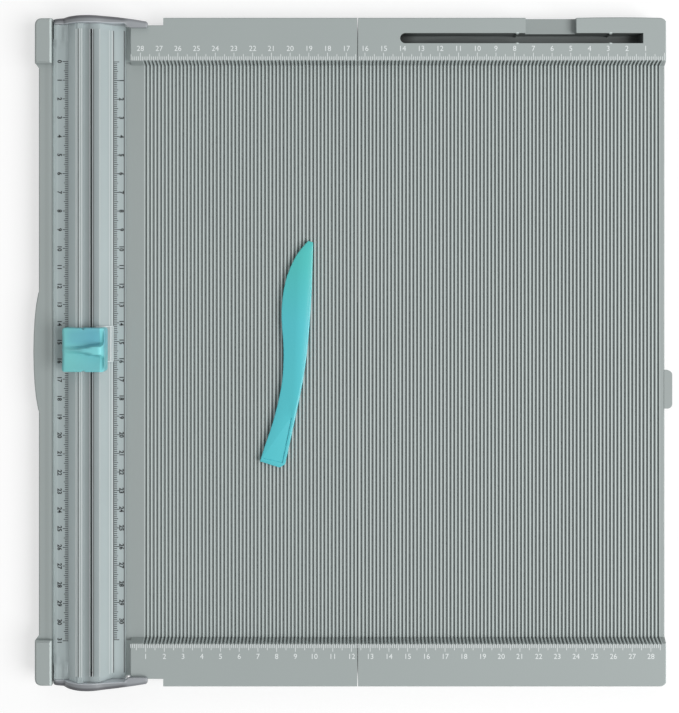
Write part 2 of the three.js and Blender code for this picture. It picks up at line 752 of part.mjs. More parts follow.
function endCap(side) {
  const [plateFront, plateRear] = sideSpan(side, capInner - tabInset, capInner + 2 * capMiddleThickness);
  const plate = runBack(capElevation(), plateFront, plateRear).intersect(raised(capPlan(side), 0, carriageTop));
  const [plugFront, plugRear] = sideSpan(side, capInner - plugLength, capInner + clearance);
  const plugBottom = armBottom + clearance;
  const plugTop = innerChannelTop - clearance;
  const plug = runBack(shapeOf([
    [armLeft + armWingWidth + armWall + clearance, plugBottom],
    [armLeft + armWingWidth + armWall + clearance, armWingTop - armWall],
    [armLeft + armWingWidth + armSlopeRun + armWall, plugTop],
    [armLeft + crownWidth - armWall, plugTop],
    [armLeft + crownWidth + farSlopeRun - armWall, plugBottom],
  ]), plugFront, plugRear);
  const screwX = armLeft + capScrewPlace;
  const seat = capInner + capPlateThickness - clearance;
  const [headFront, headRear] = sideSpan(side, seat, seat + 2 * capMiddleThickness);
  return cut(plate.add(plug), [
    rod(pivotPinRadius + clearance, pivotX, pivotZ, ...sideSpan(side, capInner - cutOverrun, railOuter + capInner)),
    rod(capScrewRadius + clearance, screwX, screwZ, ...sideSpan(side, capInner - cutOverrun, railOuter + capInner)),
    rod(capScrewHeadRadius + clearance, screwX, screwZ, headFront, headRear),
  ]);
}

function pivotPin(side) {
  return rod(pivotPinRadius, pivotX, pivotZ, ...sideSpan(side, capInner - pivotPinReach, capInner + capEndThickness));
}

function capScrew(side) {
  const screwX = armLeft + capScrewPlace;
  const seat = capInner + capPlateThickness;
  return rod(capScrewRadius, screwX, screwZ, ...sideSpan(side, seat - capScrewLength, seat + capScrewHeadHeight / 2))
    .add(rod(capScrewHeadRadius, screwX, screwZ, ...sideSpan(side, seat, seat + capScrewHeadHeight)));
}

// Carriage: two finger scoops with a fin between them that rises and widens to the right.
const carriageLeft = armLeft + carriageInset;
const carriageRight = carriageLeft + carriageWidth;
const carriageFront = carriagePlace - carriageLength / 2;
const carriageRear = carriagePlace + carriageLength / 2;

function easing(value) {
  const part = Math.min(Math.max(value, 0), 1);
  return part * part * (3 - 2 * part);
}

const finStartShare = 0.3;
const finHalfShares = [0.04, 0.21];
const finSideShare = 0.1;
const finEndShare = 0.93;
const rimStartShare = 0.93;

function carriageHeight(acrossShare, alongShare) {
  const reach = Math.abs(alongShare);
  const finHalf = finHalfShares[0] + (finHalfShares[1] - finHalfShares[0])
    * easing((acrossShare - finStartShare) / (finEndShare - finStartShare));
  const finTop = finFoot + (carriageTop - finFoot) * Math.min(acrossShare / finEndShare, 1);
  const rim = scoopRimLeft + (scoopRimRight - scoopRimLeft) * acrossShare;
  const dish = Math.max(reach - finHalf, 0) / (1 - finHalf);
  const endRise = easing((acrossShare - finEndShare) / (1 - finEndShare));
  const scoop = scoopFloor + (rim - scoopFloor) * Math.max(dish * dish, endRise);
  const onFin = 1 - easing((reach - finHalf) / finSideShare);
  const fin = finTop - (carriageTop - scoopRimRight) * endRise;
  const edge = Math.max(reach, Math.abs(2 * acrossShare - 1));
  return scoop + Math.max(fin - scoop, 0) * onFin - rimRounding * easing((edge - rimStartShare) / (1 - rimStartShare));
}

function carriageBlank() {
  const height = carriageTop - armBottom;
  const geometry = new THREE.BoxGeometry(carriageWidth, carriageLength, height, 18, 22, 1);
  geometry.translate((carriageLeft + carriageRight) / 2, carriagePlace, armBottom + height / 2);
  const position = geometry.attributes.position;
  for (let index = 0; index < position.count; index += 1) {
    if (position.getZ(index) > armBottom + height / 2) {
      const across = (position.getX(index) - carriageLeft) / carriageWidth;
      const along = (position.getY(index) - carriagePlace) / (carriageLength / 2);
      position.setZ(index, carriageHeight(across, along));
    }
  }
  return solidOf(geometry);
}

function roundedPlan([left, right], [front, rear], radius) {
  const shape = new THREE.Shape();
  shape.absarc(left + radius, front + radius, radius, Math.PI, Math.PI * 1.5, false);
  shape.absarc(right - radius, front + radius, radius, Math.PI * 1.5, Math.PI * 2, false);
  shape.absarc(right - radius, rear - radius, radius, 0, Math.PI / 2, false);
  shape.absarc(left + radius, rear - radius, radius, Math.PI / 2, Math.PI, false);
  return shape;
}

// What the carriage straddles: the arm, and beyond the crown the sight plate too.
function saddleShape() {
  const line = armTopLine(runningGap);
  const overPlate = ([x, z]) => [x + clearance, z + sightThickness + clearance];
  const [bend, foot] = [overPlate(line[8]), overPlate(line[9])];
  return shapeOf([
    [carriageLeft - cutOverrun, armBottom - cutOverrun], [carriageLeft - cutOverrun, line[0][1]], ...line.slice(0, 8),
    [slotX + cartridgeWidth / 2, bend[1]], bend, foot,
    [carriageRight + cutOverrun, foot[1]], [carriageRight + cutOverrun, armBottom - cutOverrun],
  ]);
}

// Two small marks in the middle of the upper edges, front and rear.
function carriageNotches() {
  const middle = (carriageLeft + carriageRight) / 2;
  return [[carriageRear, 1], [carriageFront, -1]].map(([edge, outward]) => {
    const outside = edge + outward * clearance;
    const half = (carriageNotchWidth / 2) * (1 + clearance / carriageNotchDepth);
    return raised(shapeOf([
      [middle - half, outside], [middle, edge - outward * carriageNotchDepth], [middle + half, outside],
    ]), cartridgeTop, carriageTop + cutOverrun);
  });
}

function carriage() {
  const plan = roundedPlan([carriageLeft, carriageRight], [carriageFront, carriageRear], carriageRadius);
  const body = carriageBlank().intersect(raised(plan, 0, carriageTop + cutOverrun));
  const bay = block(
    [slotX - cartridgeWidth / 2 - clearance, slotX + cartridgeWidth / 2 + clearance],
    [carriagePlace - cartridgeLength / 2 - clearance, carriagePlace + cartridgeLength / 2 + clearance],
    [armCrownTop, cartridgeTop + clearance]);
  const finHalfWidth = bladeThickness / 2 + clearance;
  const sockets = keeperFinSpans().map(([front, rear]) => block(
    [slotX - finHalfWidth, slotX + finHalfWidth], [front - clearance, rear + clearance],
    [armCrownTop, keeperFinTop + clearance]));
  return cut(body, [runBack(saddleShape(), -boardDepth, boardDepth), bay, ...sockets, ...carriageNotches()]);
}

function keeperFinSpans() {
  const inner = cartridgeLength / 2 + 2 * clearance;
  return [
    [carriagePlace - inner - keeperFinLength, carriagePlace - inner],
    [carriagePlace + inner, carriagePlace + inner + keeperFinLength],
  ];
}

// Keeper: a plate in the arm's channel whose two fins pass up the slot into the carriage.
function carriageKeeper() {
  const top = innerChannelTop - runningGap;
  const plate = block([slotX - keeperWidth / 2, slotX + keeperWidth / 2],
    [carriagePlace - keeperLength / 2, carriagePlace + keeperLength / 2], [top - keeperThickness, top]);
  const halfGap = bladeThickness / 2 + clearance;
  const window = block([slotX - halfGap, slotX + halfGap],
    [carriagePlace - bladeWidth / 2 - clearance, carriagePlace + bladeWidth / 2 + clearance],
    [top - keeperThickness - cutOverrun, top + cutOverrun]);
  const fins = keeperFinSpans().map(([front, rear]) => block(
    [slotX - bladeThickness / 2, slotX + bladeThickness / 2], [front, rear], [top - clearance, keeperFinTop]));
  return joined([plate.subtract(window), ...fins]);
}

function bladeCartridge() {
  const bottom = armCrownTop + runningGap;
  const top = cartridgeTop;
  const body = block([slotX - cartridgeWidth / 2, slotX + cartridgeWidth / 2],
    [carriagePlace - cartridgeLength / 2, carriagePlace + cartridgeLength / 2], [bottom, top]);
  const halfGap = bladeThickness / 2 + clearance;
  return body.subtract(block([slotX - halfGap, slotX + halfGap],
    [carriagePlace - bladeWidth / 2 - clearance, carriagePlace + bladeWidth / 2 + clearance],
    [bottom - cutOverrun, top - bladeThickness * 2]));
}

function cuttingBlade() {
  const top = cartridgeTop - bladeThickness * 2 - clearance;
  const half = bladeWidth / 2;
  const shoulder = bladeTip + half;
  return runAcross(shapeOf([
    [carriagePlace - half, top], [carriagePlace - half, shoulder], [carriagePlace, bladeTip],
    [carriagePlace + half, shoulder], [carriagePlace + half, top],
  ]), slotX - bladeThickness / 2, slotX + bladeThickness / 2);
}

// Clear plate that lies over the arm's far slope and shows the cut on the ruler.
function sightPlate() {
  const line = armTopLine(runningGap);
  const head = [slotX + cartridgeWidth / 2 + clearance, line[8][1]];
  const [bend, foot] = [line[8], line[9]];
  const end = [carriageRight + sightReach, foot[1]];
  const raise = ([x, z]) => [x, z + sightThickness];
  const section = shapeOf([head, bend, foot, end, raise(end), raise(foot), raise(bend), raise(head)]);
  return runBack(section, carriagePlace - sightFront, carriagePlace + sightRear);
}

// Scoring tool: a crescent handle that narrows to a rounded creasing tip, lying on the deck.
const toolRightShares = [
  [1, 0.985], [0.996, 0.93], [0.965, 0.738], [0.888, 0.52], [0.796, 0.374], [0.653, 0.215], [0.453, 0.012],
];
const toolLeftShares = [
  [0, 0.025], [0.095, 0.091], [0.249, 0.193], [0.372, 0.302], [0.442, 0.396], [0.46, 0.52],
  [0.421, 0.651], [0.442, 0.745], [0.53, 0.84], [0.716, 0.931], [0.93, 0.99],
];

const toolMarkShares = [[0.589, 0.215], [0.421, 0.022], [0.06, 0.042]];

function toolPoint([across, along], inset) {
  return new THREE.Vector2(
    toolPlaceX + inset + across * (toolWidth - 2 * inset), toolPlaceY + inset + along * (toolLength - 2 * inset));
}

function toolOutline(inset) {
  const place = (shares) => toolPoint(shares, inset);
  const right = new THREE.SplineCurve(toolRightShares.map(place)).getPoints(24);
  const left = new THREE.SplineCurve(toolLeftShares.map(place)).getPoints(30);
  const heel = place([0.358, 0]);
  return new THREE.Shape([...right, heel, ...left]);
}

// Shallow lines cut in the tool's top, one beside its right edge and one along its heel.
function toolMarks(top) {
  return toolMarkShares.slice(1).map((shares, index) => {
    const [from, to] = [toolPoint(toolMarkShares[index], 0), toolPoint(shares, 0)];
    const ahead = to.clone().sub(from).setLength(toolMarkWidth / 2);
    const aside = new THREE.Vector2(-ahead.y, ahead.x);
    const corners = [
      from.clone().sub(ahead).sub(aside), to.clone().add(ahead).sub(aside),
      to.clone().add(ahead).add(aside), from.clone().sub(ahead).add(aside),
    ];
    return raised(new THREE.Shape(corners), top - toolMarkDepth, top + cutOverrun);
  });
}

function scoringTool() {
  const bottom = deckTop + clearance;
  const geometry = new THREE.ExtrudeGeometry(toolOutline(toolEdgeBevel), {
    depth: toolThickness - 2 * toolEdgeBevel, bevelEnabled: true, bevelThickness: toolEdgeBevel,
    bevelSize: toolEdgeBevel, bevelSegments: 2,
  });
  return cut(solidOf(geometry.translate(0, 0, bottom + toolEdgeBevel)), toolMarks(bottom + toolThickness));
}

// The assembly
const board = new THREE.Group();

function place(name, geometry, material, x = 0, y = 0, z = 0) {
  const mesh = new THREE.Mesh(geometry, material);
  mesh.name = name;
  mesh.position.set(x, y, z);
  board.add(mesh);
}

place('left_board', geometryOf(leftBoard()), boardPlastic);
place('right_board', geometryOf(rightBoard()), boardPlastic);
place('cutting_strip', geometryOf(cuttingStrip()), darkPlastic);
['rear', 'middle', 'front'].forEach((name, index) => {
  place(`fold_pin_${name}`, geometryOf(foldPin(hingePlaces[index])), steel);
});
leftFeet.forEach(({ x, y }, index) => place(`left_foot_${index + 1}`, foot(), rubber, x, y));
rightFeet.forEach(({ x, y }, index) => place(`right_foot_${index + 1}`, foot(), rubber, x, y));
place('ruler_arm', geometryOf(rulerArm()), clearPlastic);
for (const [name, side] of [['rear', 1], ['front', -1]]) {
  place(`arm_cap_${name}`, geometryOf(endCap(side)), capPlastic);
  place(`arm_pivot_pin_${name}`, geometryOf(pivotPin(side)), steel);
  place(`cap_screw_${name}`, geometryOf(capScrew(side)), steel);
}
place('carriage', geometryOf(carriage()), tealPlastic);
place('carriage_keeper', geometryOf(carriageKeeper()), steel);
place('blade_cartridge', geometryOf(bladeCartridge()), darkPlastic);
place('cutting_blade', geometryOf(cuttingBlade()), steel);
place('sight_plate', geometryOf(sightPlate()), clearPlastic);
place('scoring_tool', geometryOf(scoringTool()), tealPlastic);

export default board;
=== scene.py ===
"""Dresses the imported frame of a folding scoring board: finishes, printed rulers, the clear arm,
the blade carriage, the loose tool and a plain studio. Metres, +Z up, in the frame's own place."""

import json
import math

import bpy
from bpy.props import FloatProperty, FloatVectorProperty, IntProperty, PointerProperty
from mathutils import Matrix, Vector

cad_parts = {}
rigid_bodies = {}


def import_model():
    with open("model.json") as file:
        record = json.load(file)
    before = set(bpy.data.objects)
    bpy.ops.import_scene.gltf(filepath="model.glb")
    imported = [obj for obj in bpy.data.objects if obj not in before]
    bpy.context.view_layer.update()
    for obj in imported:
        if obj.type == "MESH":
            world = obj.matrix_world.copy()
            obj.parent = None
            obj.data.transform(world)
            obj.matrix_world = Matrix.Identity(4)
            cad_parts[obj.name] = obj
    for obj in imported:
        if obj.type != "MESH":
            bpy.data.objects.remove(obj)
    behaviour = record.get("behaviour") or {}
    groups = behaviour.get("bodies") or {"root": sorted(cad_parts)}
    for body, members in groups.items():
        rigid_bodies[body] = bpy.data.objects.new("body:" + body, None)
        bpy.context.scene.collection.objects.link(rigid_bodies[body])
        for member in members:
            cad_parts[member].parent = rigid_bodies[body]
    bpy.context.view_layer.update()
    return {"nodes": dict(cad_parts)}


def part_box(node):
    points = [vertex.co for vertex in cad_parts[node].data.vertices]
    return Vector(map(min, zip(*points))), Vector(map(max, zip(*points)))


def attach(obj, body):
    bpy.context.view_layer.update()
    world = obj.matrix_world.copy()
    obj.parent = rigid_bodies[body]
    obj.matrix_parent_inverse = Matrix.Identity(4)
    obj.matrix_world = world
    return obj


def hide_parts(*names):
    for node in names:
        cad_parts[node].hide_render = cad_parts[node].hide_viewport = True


bl_info = {
    "name": "Scoring Board Dressing",
    "version": (1, 0, 0),
    "blender": (4, 5, 0),
    "location": "View3D > Sidebar > Scoring Board",
    "description": "Finishes, rulers, clear arm, carriage and tool of a folding scoring board",
    "category": "Object",
}

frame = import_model()
NODES = frame["nodes"]
MM = 0.001

# Boxes of the frame's pieces at rest, as (lowest corner, highest corner).
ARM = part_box("ruler_arm")
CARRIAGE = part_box("carriage")
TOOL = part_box("scoring_tool")

# Places on the board: the fold, the right end of the rails, and the left margin's inner edge and top.
SEAM = 2.4 * MM
RAIL_END = 166.4 * MM
RAIL_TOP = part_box("right_board")[1].z
MARGIN_EDGE = -161.5 * MM
MARGIN_TOP = 13 * MM

# How far a mask of tone goes past the form that it covers.
SPARE = 0.1 * MM


def length(name, description, default):
    """A size in metres that a user may change."""
    return FloatProperty(
        name=name, description=description, default=default, unit="LENGTH", subtype="DISTANCE", precision=5
    )


def amount(name, description, default):
    """A plain number that isn't a size, such as a tone or a strength."""
    return FloatProperty(name=name, description=description, default=default, min=0)


def spot(name, description, default):
    """A place in the studio, in metres."""
    return FloatVectorProperty(
        name=name, description=description, default=default, size=3, subtype="TRANSLATION", unit="LENGTH"
    )


def colour(name, description, default):
    """A colour, written as the sRGB numbers that a picture shows."""
    linear = [((c + 0.055) / 1.055) ** 2.4 if c > 0.04045 else c / 12.92 for c in default]
    return FloatVectorProperty(
        name=name, description=description, default=linear, size=3, min=0, max=1, subtype="COLOR"
    )


class RulerSettings(bpy.types.PropertyGroup):
    """Sizes of the printed rulers."""

    ink: length("Ink", "Thickness of the ink", 0.03 * MM)
    line: length("Line", "Width of a tick", 0.28 * MM)
    hair: length("Hair", "Gap between a tick and its longer part", 0.01 * MM)
    centimetre: length("Centimetre", "Distance between two numbers", 10 * MM)
    digits: length("Digits", "Height of the rail numbers", 2.8 * MM)
    rail_edge: length("Rail edge", "Where the ticks start, from the middle", 155.95 * MM)
    rear_numbers: length("Rear numbers", "Middle of the rear rail's numbers, from the middle", 162.2 * MM)
    front_numbers: length("Front numbers", "Middle of the front rail's numbers, from the middle", 162.7 * MM)
    rear_zero: length("Rear zero", "Place of nought on the rear rail", 166.3 * MM)
    front_zero: length("Front zero", "Place of nought on the front rail", -120.9 * MM)
    millimetre_tick: length("Millimetre tick", "Length of the short ticks", 2.1 * MM)
    half_tick: length("Half tick", "Length of the ticks at five millimetres", 3.3 * MM)
    centimetre_tick: length("Centimetre tick", "Length of the ticks at the numbers", 4.1 * MM)
    rail_start: length("Rail start", "Left end of both rulers", -119.2 * MM)
    seam_gap: length("Seam gap", "Bare strip at each side of the fold", 0.2 * MM)
    rail_boldness: length("Rail boldness", "Thickening of the rail numbers", 0.0)
    arm_boldness: length("Arm boldness", "Thickening of the arm's numbers", 0.1 * MM)
    arm_digits: length("Arm digits", "Height of the arm's numbers", 2.2 * MM)
    arm_line: length("Arm line", "Width of the arm's ticks", 0.36 * MM)
    arm_tick: length("Arm tick", "Length of the arm's short ticks", 1.8 * MM)
    arm_half_tick: length("Arm half tick", "Length of the arm's middle ticks", 2.3 * MM)
    arm_centimetre_tick: length("Arm long tick", "Length of the arm's long ticks", 2.9 * MM)
    rail_count: IntProperty(name="Rail count", description="Numbers on a rail", default=28, min=1)
    arm_last: IntProperty(name="Arm last", description="Last number at the left of the arm", default=31, min=1)
    arm_zero: length("Arm zero", "Place of nought on the arm", 155.5 * MM)


class BoardSettings(bpy.types.PropertyGroup):
    """Where the board's grooves, slot and notch lie, and the painted shade and painted highlights of each form
    as a share of the colour.
    """

    clouds: amount("Clouds", "Faint changes of tone", 0.02)
    pitch: length("Pitch", "Distance between two grooves", 2 * MM)
    first: length("First groove", "Middle of the groove at the far left", -111.6 * MM)
    last: length("Last groove", "Middle of the groove at the far right", 164.4 * MM)
    reach: length("Groove reach", "Where the grooves end on the rails, from the middle", 155.7 * MM)
    # Painted shade in the grooves and a painted highlight on the lands between them.
    groove_shade: amount("Groove shade", "Tone of the grooves", 0.66)
    land_shade: amount("Land shade", "Tone between the grooves", 1.66)
    # Painted shade on all that lies below the rails.
    bed_shade: amount("Bed shade", "Tone of all that lies below the rails", 0.92)
    slot_low: length("Slot start", "Left end of the tool slot", 25.1 * MM)
    slot_high: length("Slot end", "Right end of the tool slot", 155.1 * MM)
    slot_middle: length("Slot middle", "Middle of the tool slot", 167.85 * MM)
    slot_width: length("Slot width", "Width of the tool slot", 5.5 * MM)
    # Painted shade inside the tool slot, darker still at its left end.
    slot_shade: amount("Slot shade", "Tone inside the tool slot", 0.4)
    slot_streaks: amount("Slot streaks", "Changes of tone inside the tool slot", 0.55)
    slot_fade: length("Slot fade", "Length of the darker left end of the slot", 9 * MM)
    slot_end_shade: amount("Slot end shade", "Tone at the slot's left end", 0.12)
    # Painted light in the gap beside the arm, where shade falls.
    gap_shade: amount("Gap shade", "Tone of the gap beside the arm", 2.4)
    # Painted light on the arm's seat beside the rails, where shade falls.
    seat_shade: amount("Seat shade", "Tone of the arm's seat beside the rails", 1.8)
    seat_width: length("Seat width", "Open strip of the seat beside the rails", 2.2 * MM)
    nib_places: FloatVectorProperty(
        name="Nibs", description="Middles of the two pairs of nibs at the tool slot", size=2, unit="LENGTH",
        default=(87.9 * MM, 137.85 * MM), precision=5,
    )
    nib_width: length("Nib width", "Width of a nib", 1.2 * MM)
    nib_inner: length("Nib inner end", "Inner end of a nib, from the slot's middle", 1.9 * MM)
    nib_outer: length("Nib outer end", "Outer end of a nib, from the slot's middle", 3.1 * MM)
    # Nib shade makes the tops of the nibs lighter.
    nib_shade: amount("Nib shade", "Tone of the nibs' worn tops", 1.9)
    # Painted highlight along the edge of the corner blocks: its width and tone.
    edge_width: length("Edge width", "Width of the bright edge of the corner blocks", 0.9 * MM)
    edge_shade: amount("Edge shade", "Tone of the blocks' edge", 1.6)
    notch_low: length("Notch start", "Left end of the finger notch", 92 * MM)
    notch_high: length("Notch end", "Right end of the finger notch", 119.6 * MM)
    notch_floor: length("Notch floor", "Height of the finger notch", 12.6 * MM)
    # Painted shade on the floor of the finger notch.
    notch_shade: amount("Notch shade", "Tone of the notch's floor", 0.9)


class ArmSettings(bpy.types.PropertyGroup):
    """Places on the clear arm, from its left edge, and the softness of its edges."""

    left_numbers: length("Left numbers", "Middle of the left numbers", 3.6 * MM)
    left_ticks: length("Left ticks", "Where the left ticks start", 8.3 * MM)
    left_top: length("Left top", "Height of the left wing", 16 * MM)
    right_ticks: length("Right ticks", "Where the right ticks start", 32.4 * MM)
    right_numbers: length("Right numbers", "Middle of the right numbers", 36.4 * MM)
    right_top: length("Right top", "Height of the right wing", 14.2 * MM)
    edge: length("Edge", "Rounding of the long edges", 0.22 * MM)
    rim: length("Rim", "Width of the left edge that is drawn out", 0.9 * MM)
    overlap: length("Overlap", "How far the left edge is drawn out towards the margin", 0.4 * MM)
    slot: length("Slot", "Middle of the blade slot", 21.62 * MM)
    # The dark line at the blade slot is a painted shadow.
    slot_dark: length("Slot dark", "Half width of the dark line at the slot", 0.46 * MM)
    # The thin lines are painted highlights, reflections and shadows.
    line_inset: length("Line inset", "How far the lines stop from the arm's ends", 3 * MM)
    line_opacity: amount("Line opacity", "Opacity of the thin lines", 0.9)
    opacity: amount("Opacity", "Opacity of one face of the arm", 0.5)


class SightSettings(bpy.types.PropertyGroup):
    """The painted highlights near the edges of the sight plate."""

    line: length("Line", "Width of a line", 0.35 * MM)
    spacing: length("Spacing", "Distance between the two lines at the right", 1.1 * MM)
    inset: length("Inset", "Distance from the plate's edges", 1.2 * MM)
    line_opacity: amount("Line opacity", "Opacity of the lines", 0.85)
    opacity: amount("Opacity", "Opacity of one face of the plate", 0.05)


class CapSettings(bpy.types.PropertyGroup):
    """Where the painted shade and painted light of the end caps lie, and their tones as shares of the colour."""

    edge: length("Edge", "Rounding of the edges", 0.35 * MM)
    middle: length("Middle", "Middle of the outer arc, across", -140.6 * MM)
    bow: amount("Bow", "How strongly the outer arc curves", 2.8)
    # The dark arc is painted shade and dark reflection on the caps' outer slope.
    arc_start: length("Arc start", "Where the dark arc starts, from the board's middle", 177.1 * MM)
    arc_end: length("Arc end", "Where the arc is darkest, from the board's middle", 178.2 * MM)
    # The pale inner side is painted light where shade falls, and the tab has a painted highlight.
    inside_start: length("Inside start", "Where the pale inner side ends, from the middle", 175.5 * MM)
    inside_end: length("Inside end", "Where the plain tone starts, from the middle", 176 * MM)
    inside_shade: amount("Inside shade", "Tone of the inner side", 2.2)
    tab_start: length("Tab start", "Start of the lifting tab, right of the arm", 1 * MM)
    tab_end: length("Tab end", "End of the lifting tab, right of the arm", 20 * MM)
    tab_soft: length("Tab softness", "Width over which the tab's tone starts", 4 * MM)
    tab_shade: amount("Tab shade", "Tone of the lifting tab", 1.3)


class CarriageSettings(bpy.types.PropertyGroup):
    """How finely the carriage is shaped, how soft its forms are and how strong its painted shade is."""

    grid: length("Grid", "Size of the fine faces", 0.2 * MM)
    rounds: IntProperty(name="Rounds", description="How often the upper forms are softened", default=45, min=0)
    upper: length("Upper", "Forms above this height are softened", 22.6 * MM)
    # Front, hollow and rim set how strongly the carriage's painted shade shows.
    front: amount("Front", "Share of the right colour at the front", 0.45)
    hollow: amount("Hollow", "Strength of the rear hollow's own colour", 0.45)
    rim: amount("Rim", "Darkening of the left edge", 0.45)


class ToolSettings(bpy.types.PropertyGroup):
    """How soft the loose tool's edges are and where its tip's colour lies."""

    edge: length("Edge", "Rounding of the edges", 0.3 * MM)
    tip_start: length("Tip start", "Where the tip's colour starts, from the tip", 45 * MM)
    tip_end: length("Tip end", "Where the tip's colour is full, from the tip", 10 * MM)


class FinishSettings(bpy.types.PropertyGroup):
    """Colours of the finishes."""

    board: colour("Board", "Grey moulded board", (0.655, 0.69, 0.685))
    # The caps' outer arc colour is painted shade and dark reflection.
    cap: colour("Caps", "Outer arc of the end caps", (0.41, 0.415, 0.43))
    cap_inner: colour("Cap inner", "End caps towards the arm", (0.58, 0.595, 0.61))
    clear: colour("Clear", "Clear arm", (0.9, 0.955, 0.96))
    # The carriage's left colour is its own; the next three are painted shade, a painted highlight and painted
    # shade.
    carriage_left: colour("Carriage left", "Left side of the carriage", (0.49, 0.81, 0.805))
    carriage_right: colour("Carriage right", "Hollows of the carriage", (0.455, 0.765, 0.82))
    carriage_ridge: colour("Carriage ridge", "Ridge and fin of the carriage", (0.55, 0.91, 0.93))
    carriage_deep: colour("Carriage deep", "Middle of the rear hollow", (0.4, 0.68, 0.76))
    tool: colour("Tool", "Loose scoring tool", (0.355, 0.8, 0.84))
    tool_tip: colour("Tool tip", "Loose scoring tool at its tip", (0.34, 0.795, 0.78))
    strip: colour("Strip", "Cutting strip", (0.5, 0.52, 0.52))
    dark: colour("Dark", "Blade cartridge", (0.12, 0.12, 0.13))
    rubber: colour("Rubber", "Feet", (0.2, 0.2, 0.21))
    steel: colour("Steel", "Pins, screws and blade", (0.78, 0.79, 0.8))
    white_ink: colour("White ink", "Rail rulers", (0.93, 0.95, 0.95))
    black_ink: colour("Black ink", "Arm rulers", (0.02, 0.02, 0.03))
    floor: colour("Floor", "Pale floor", (0.96, 0.96, 0.96))


class StudioSettings(bpy.types.PropertyGroup):
    """The floor, the camera and the lights."""

    floor_size: length("Floor size", "Width of the floor", 12)
    contact: length("Contact", "How close to the board the floor stops to glow", 20 * MM)
    camera_x: length("Camera x", "Camera across", -1.7 * MM)
    camera_y: length("Camera y", "Camera along", 56.4 * MM)
    camera_height: length("Camera height", "Camera above the deck", 700 * MM)
    deck: length("Deck", "Height of the deck", 11 * MM)
    view_x: length("View x", "Middle of the picture on the deck, across", -7.35 * MM)
    view_y: length("View y", "Middle of the picture on the deck, along", -2.8 * MM)
    view_height: length("View height", "Height of the picture on the deck", 384.3 * MM)
    key_power: FloatProperty(name="Key power", description="Soft light at the right", default=75, unit="POWER")
    key_place: spot("Key place", "Place of the light at the right", (2.0, -0.5, 2.4))
    key_size: length("Key size", "Width of the light at the right", 2.0)
    fill_power: FloatProperty(name="Fill power", description="Soft light at the rear", default=3, unit="POWER")
    fill_place: spot("Fill place", "Place of the light at the rear", (-0.2, 1.4, 1.4))
    fill_size: length("Fill size", "Width of the light at the rear", 1.2)
    sky: amount("Sky", "Strength of the even light", 0.355)
    floor_lift: amount("Floor lift", "Glow of the floor in the picture", 0.58)
    floor_share: amount("Floor share", "Share of the floor's own tone in it", 0.5)


GROUPS = {
    "board": BoardSettings,
    "ruler": RulerSettings,
    "arm": ArmSettings,
    "sight": SightSettings,
    "cap": CapSettings,
    "carriage": CarriageSettings,
    "tool": ToolSettings,
    "finish": FinishSettings,
    "studio": StudioSettings,
}


# Painted shade and painted highlights across the arm, each a distance from its left edge and a share of its
# colour.
ARM_PAINTED_SHADING = [(place * MM, tone) for place, tone in (
    (0, 0.95), (1.6, 0.8), (2.4, 0.9), (3.2, 0.8), (6.6, 0.8), (7.3, 0.68), (8.4, 0.66), (8.8, 1.0),
    (12.8, 1.0), (14.5, 0.86), (17.2, 0.74), (18.6, 0.58), (20.4, 0.46), (22.0, 0.6), (23.4, 0.7),
    (25.8, 0.76), (26.4, 0.86), (30.6, 0.9), (32.6, 0.95), (34.6, 0.94), (37.6, 0.86), (38.6, 0.82),
)]

# Painted highlights, reflections and shadow lines along the arm, each a distance from its left edge, a width and
# a tone.
ARM_PAINTED_LINES = [(place * MM, width * MM, tone) for place, width, tone in (
    (13.65, 0.9, 0.85), (15.05, 0.45, 0.12), (15.6, 0.4, 0.72), (16.65, 0.4, 0.7), (20.7, 0.35, 0.42),
    (22.2, 0.35, 0.7), (22.72, 0.4, 0.14), (26.0, 0.35, 0.58), (30.35, 0.3, 0.62), (31.6, 0.45, 0.74),
    (32.25, 0.45, 0.12), (37.95, 0.5, 0.12),
)]

# Colours of those painted lines at full tone, and of the painted shadow at the blade slot.
PAINTED_LINE_COLOUR = (0.93, 1.0, 1.0)
SLOT_SHADOW_COLOUR = (0.012, 0.01, 0.014)

# Short ticks from one number to the next, and from a number to the middle tick.
CENTIMETRE_TICKS = 10
HALF_TICKS = 5

# Strips of painted shade and painted highlight along the left margin: two places from its inner edge, their
# softness and a share.
PAINTED_MARGIN_BANDS = [(low * MM, high * MM, soft * MM, tone) for low, high, soft, tone in (
    (-4.2, -2.6, 1.2, 0.92), (-1.6, 0.1, 0.8, 1.2),
)]


def settings(name):
    """One of this file's property groups on the scene."""
    return getattr(bpy.context.scene, "board_" + name)


class Signal:
    """An output of a shader node. Arithmetic on it adds Math nodes."""

    def __init__(self, finish, node, output):
        self.finish = finish
        self.node = node
        self.socket = node.outputs[output] if node.outputs else None

    def out(self, output):
        """Another output of the same node."""
        return Signal(self.finish, self.node, output)

    def __add__(self, other):
        return self.finish.maths("ADD", self, other)

    def __radd__(self, other):
        return self.finish.maths("ADD", other, self)

    def __sub__(self, other):
        return self.finish.maths("SUBTRACT", self, other)

    def __rsub__(self, other):
        return self.finish.maths("SUBTRACT", other, self)

    def __mul__(self, other):
        return self.finish.maths("MULTIPLY", self, other)

    def __rmul__(self, other):
        return self.finish.maths("MULTIPLY", other, self)

    def __lt__(self, other):
        return self.finish.maths("LESS_THAN", self, other)

    def __gt__(self, other):
        return self.finish.maths("GREATER_THAN", self, other)

    def __abs__(self):
        return self.finish.maths("ABSOLUTE", self)


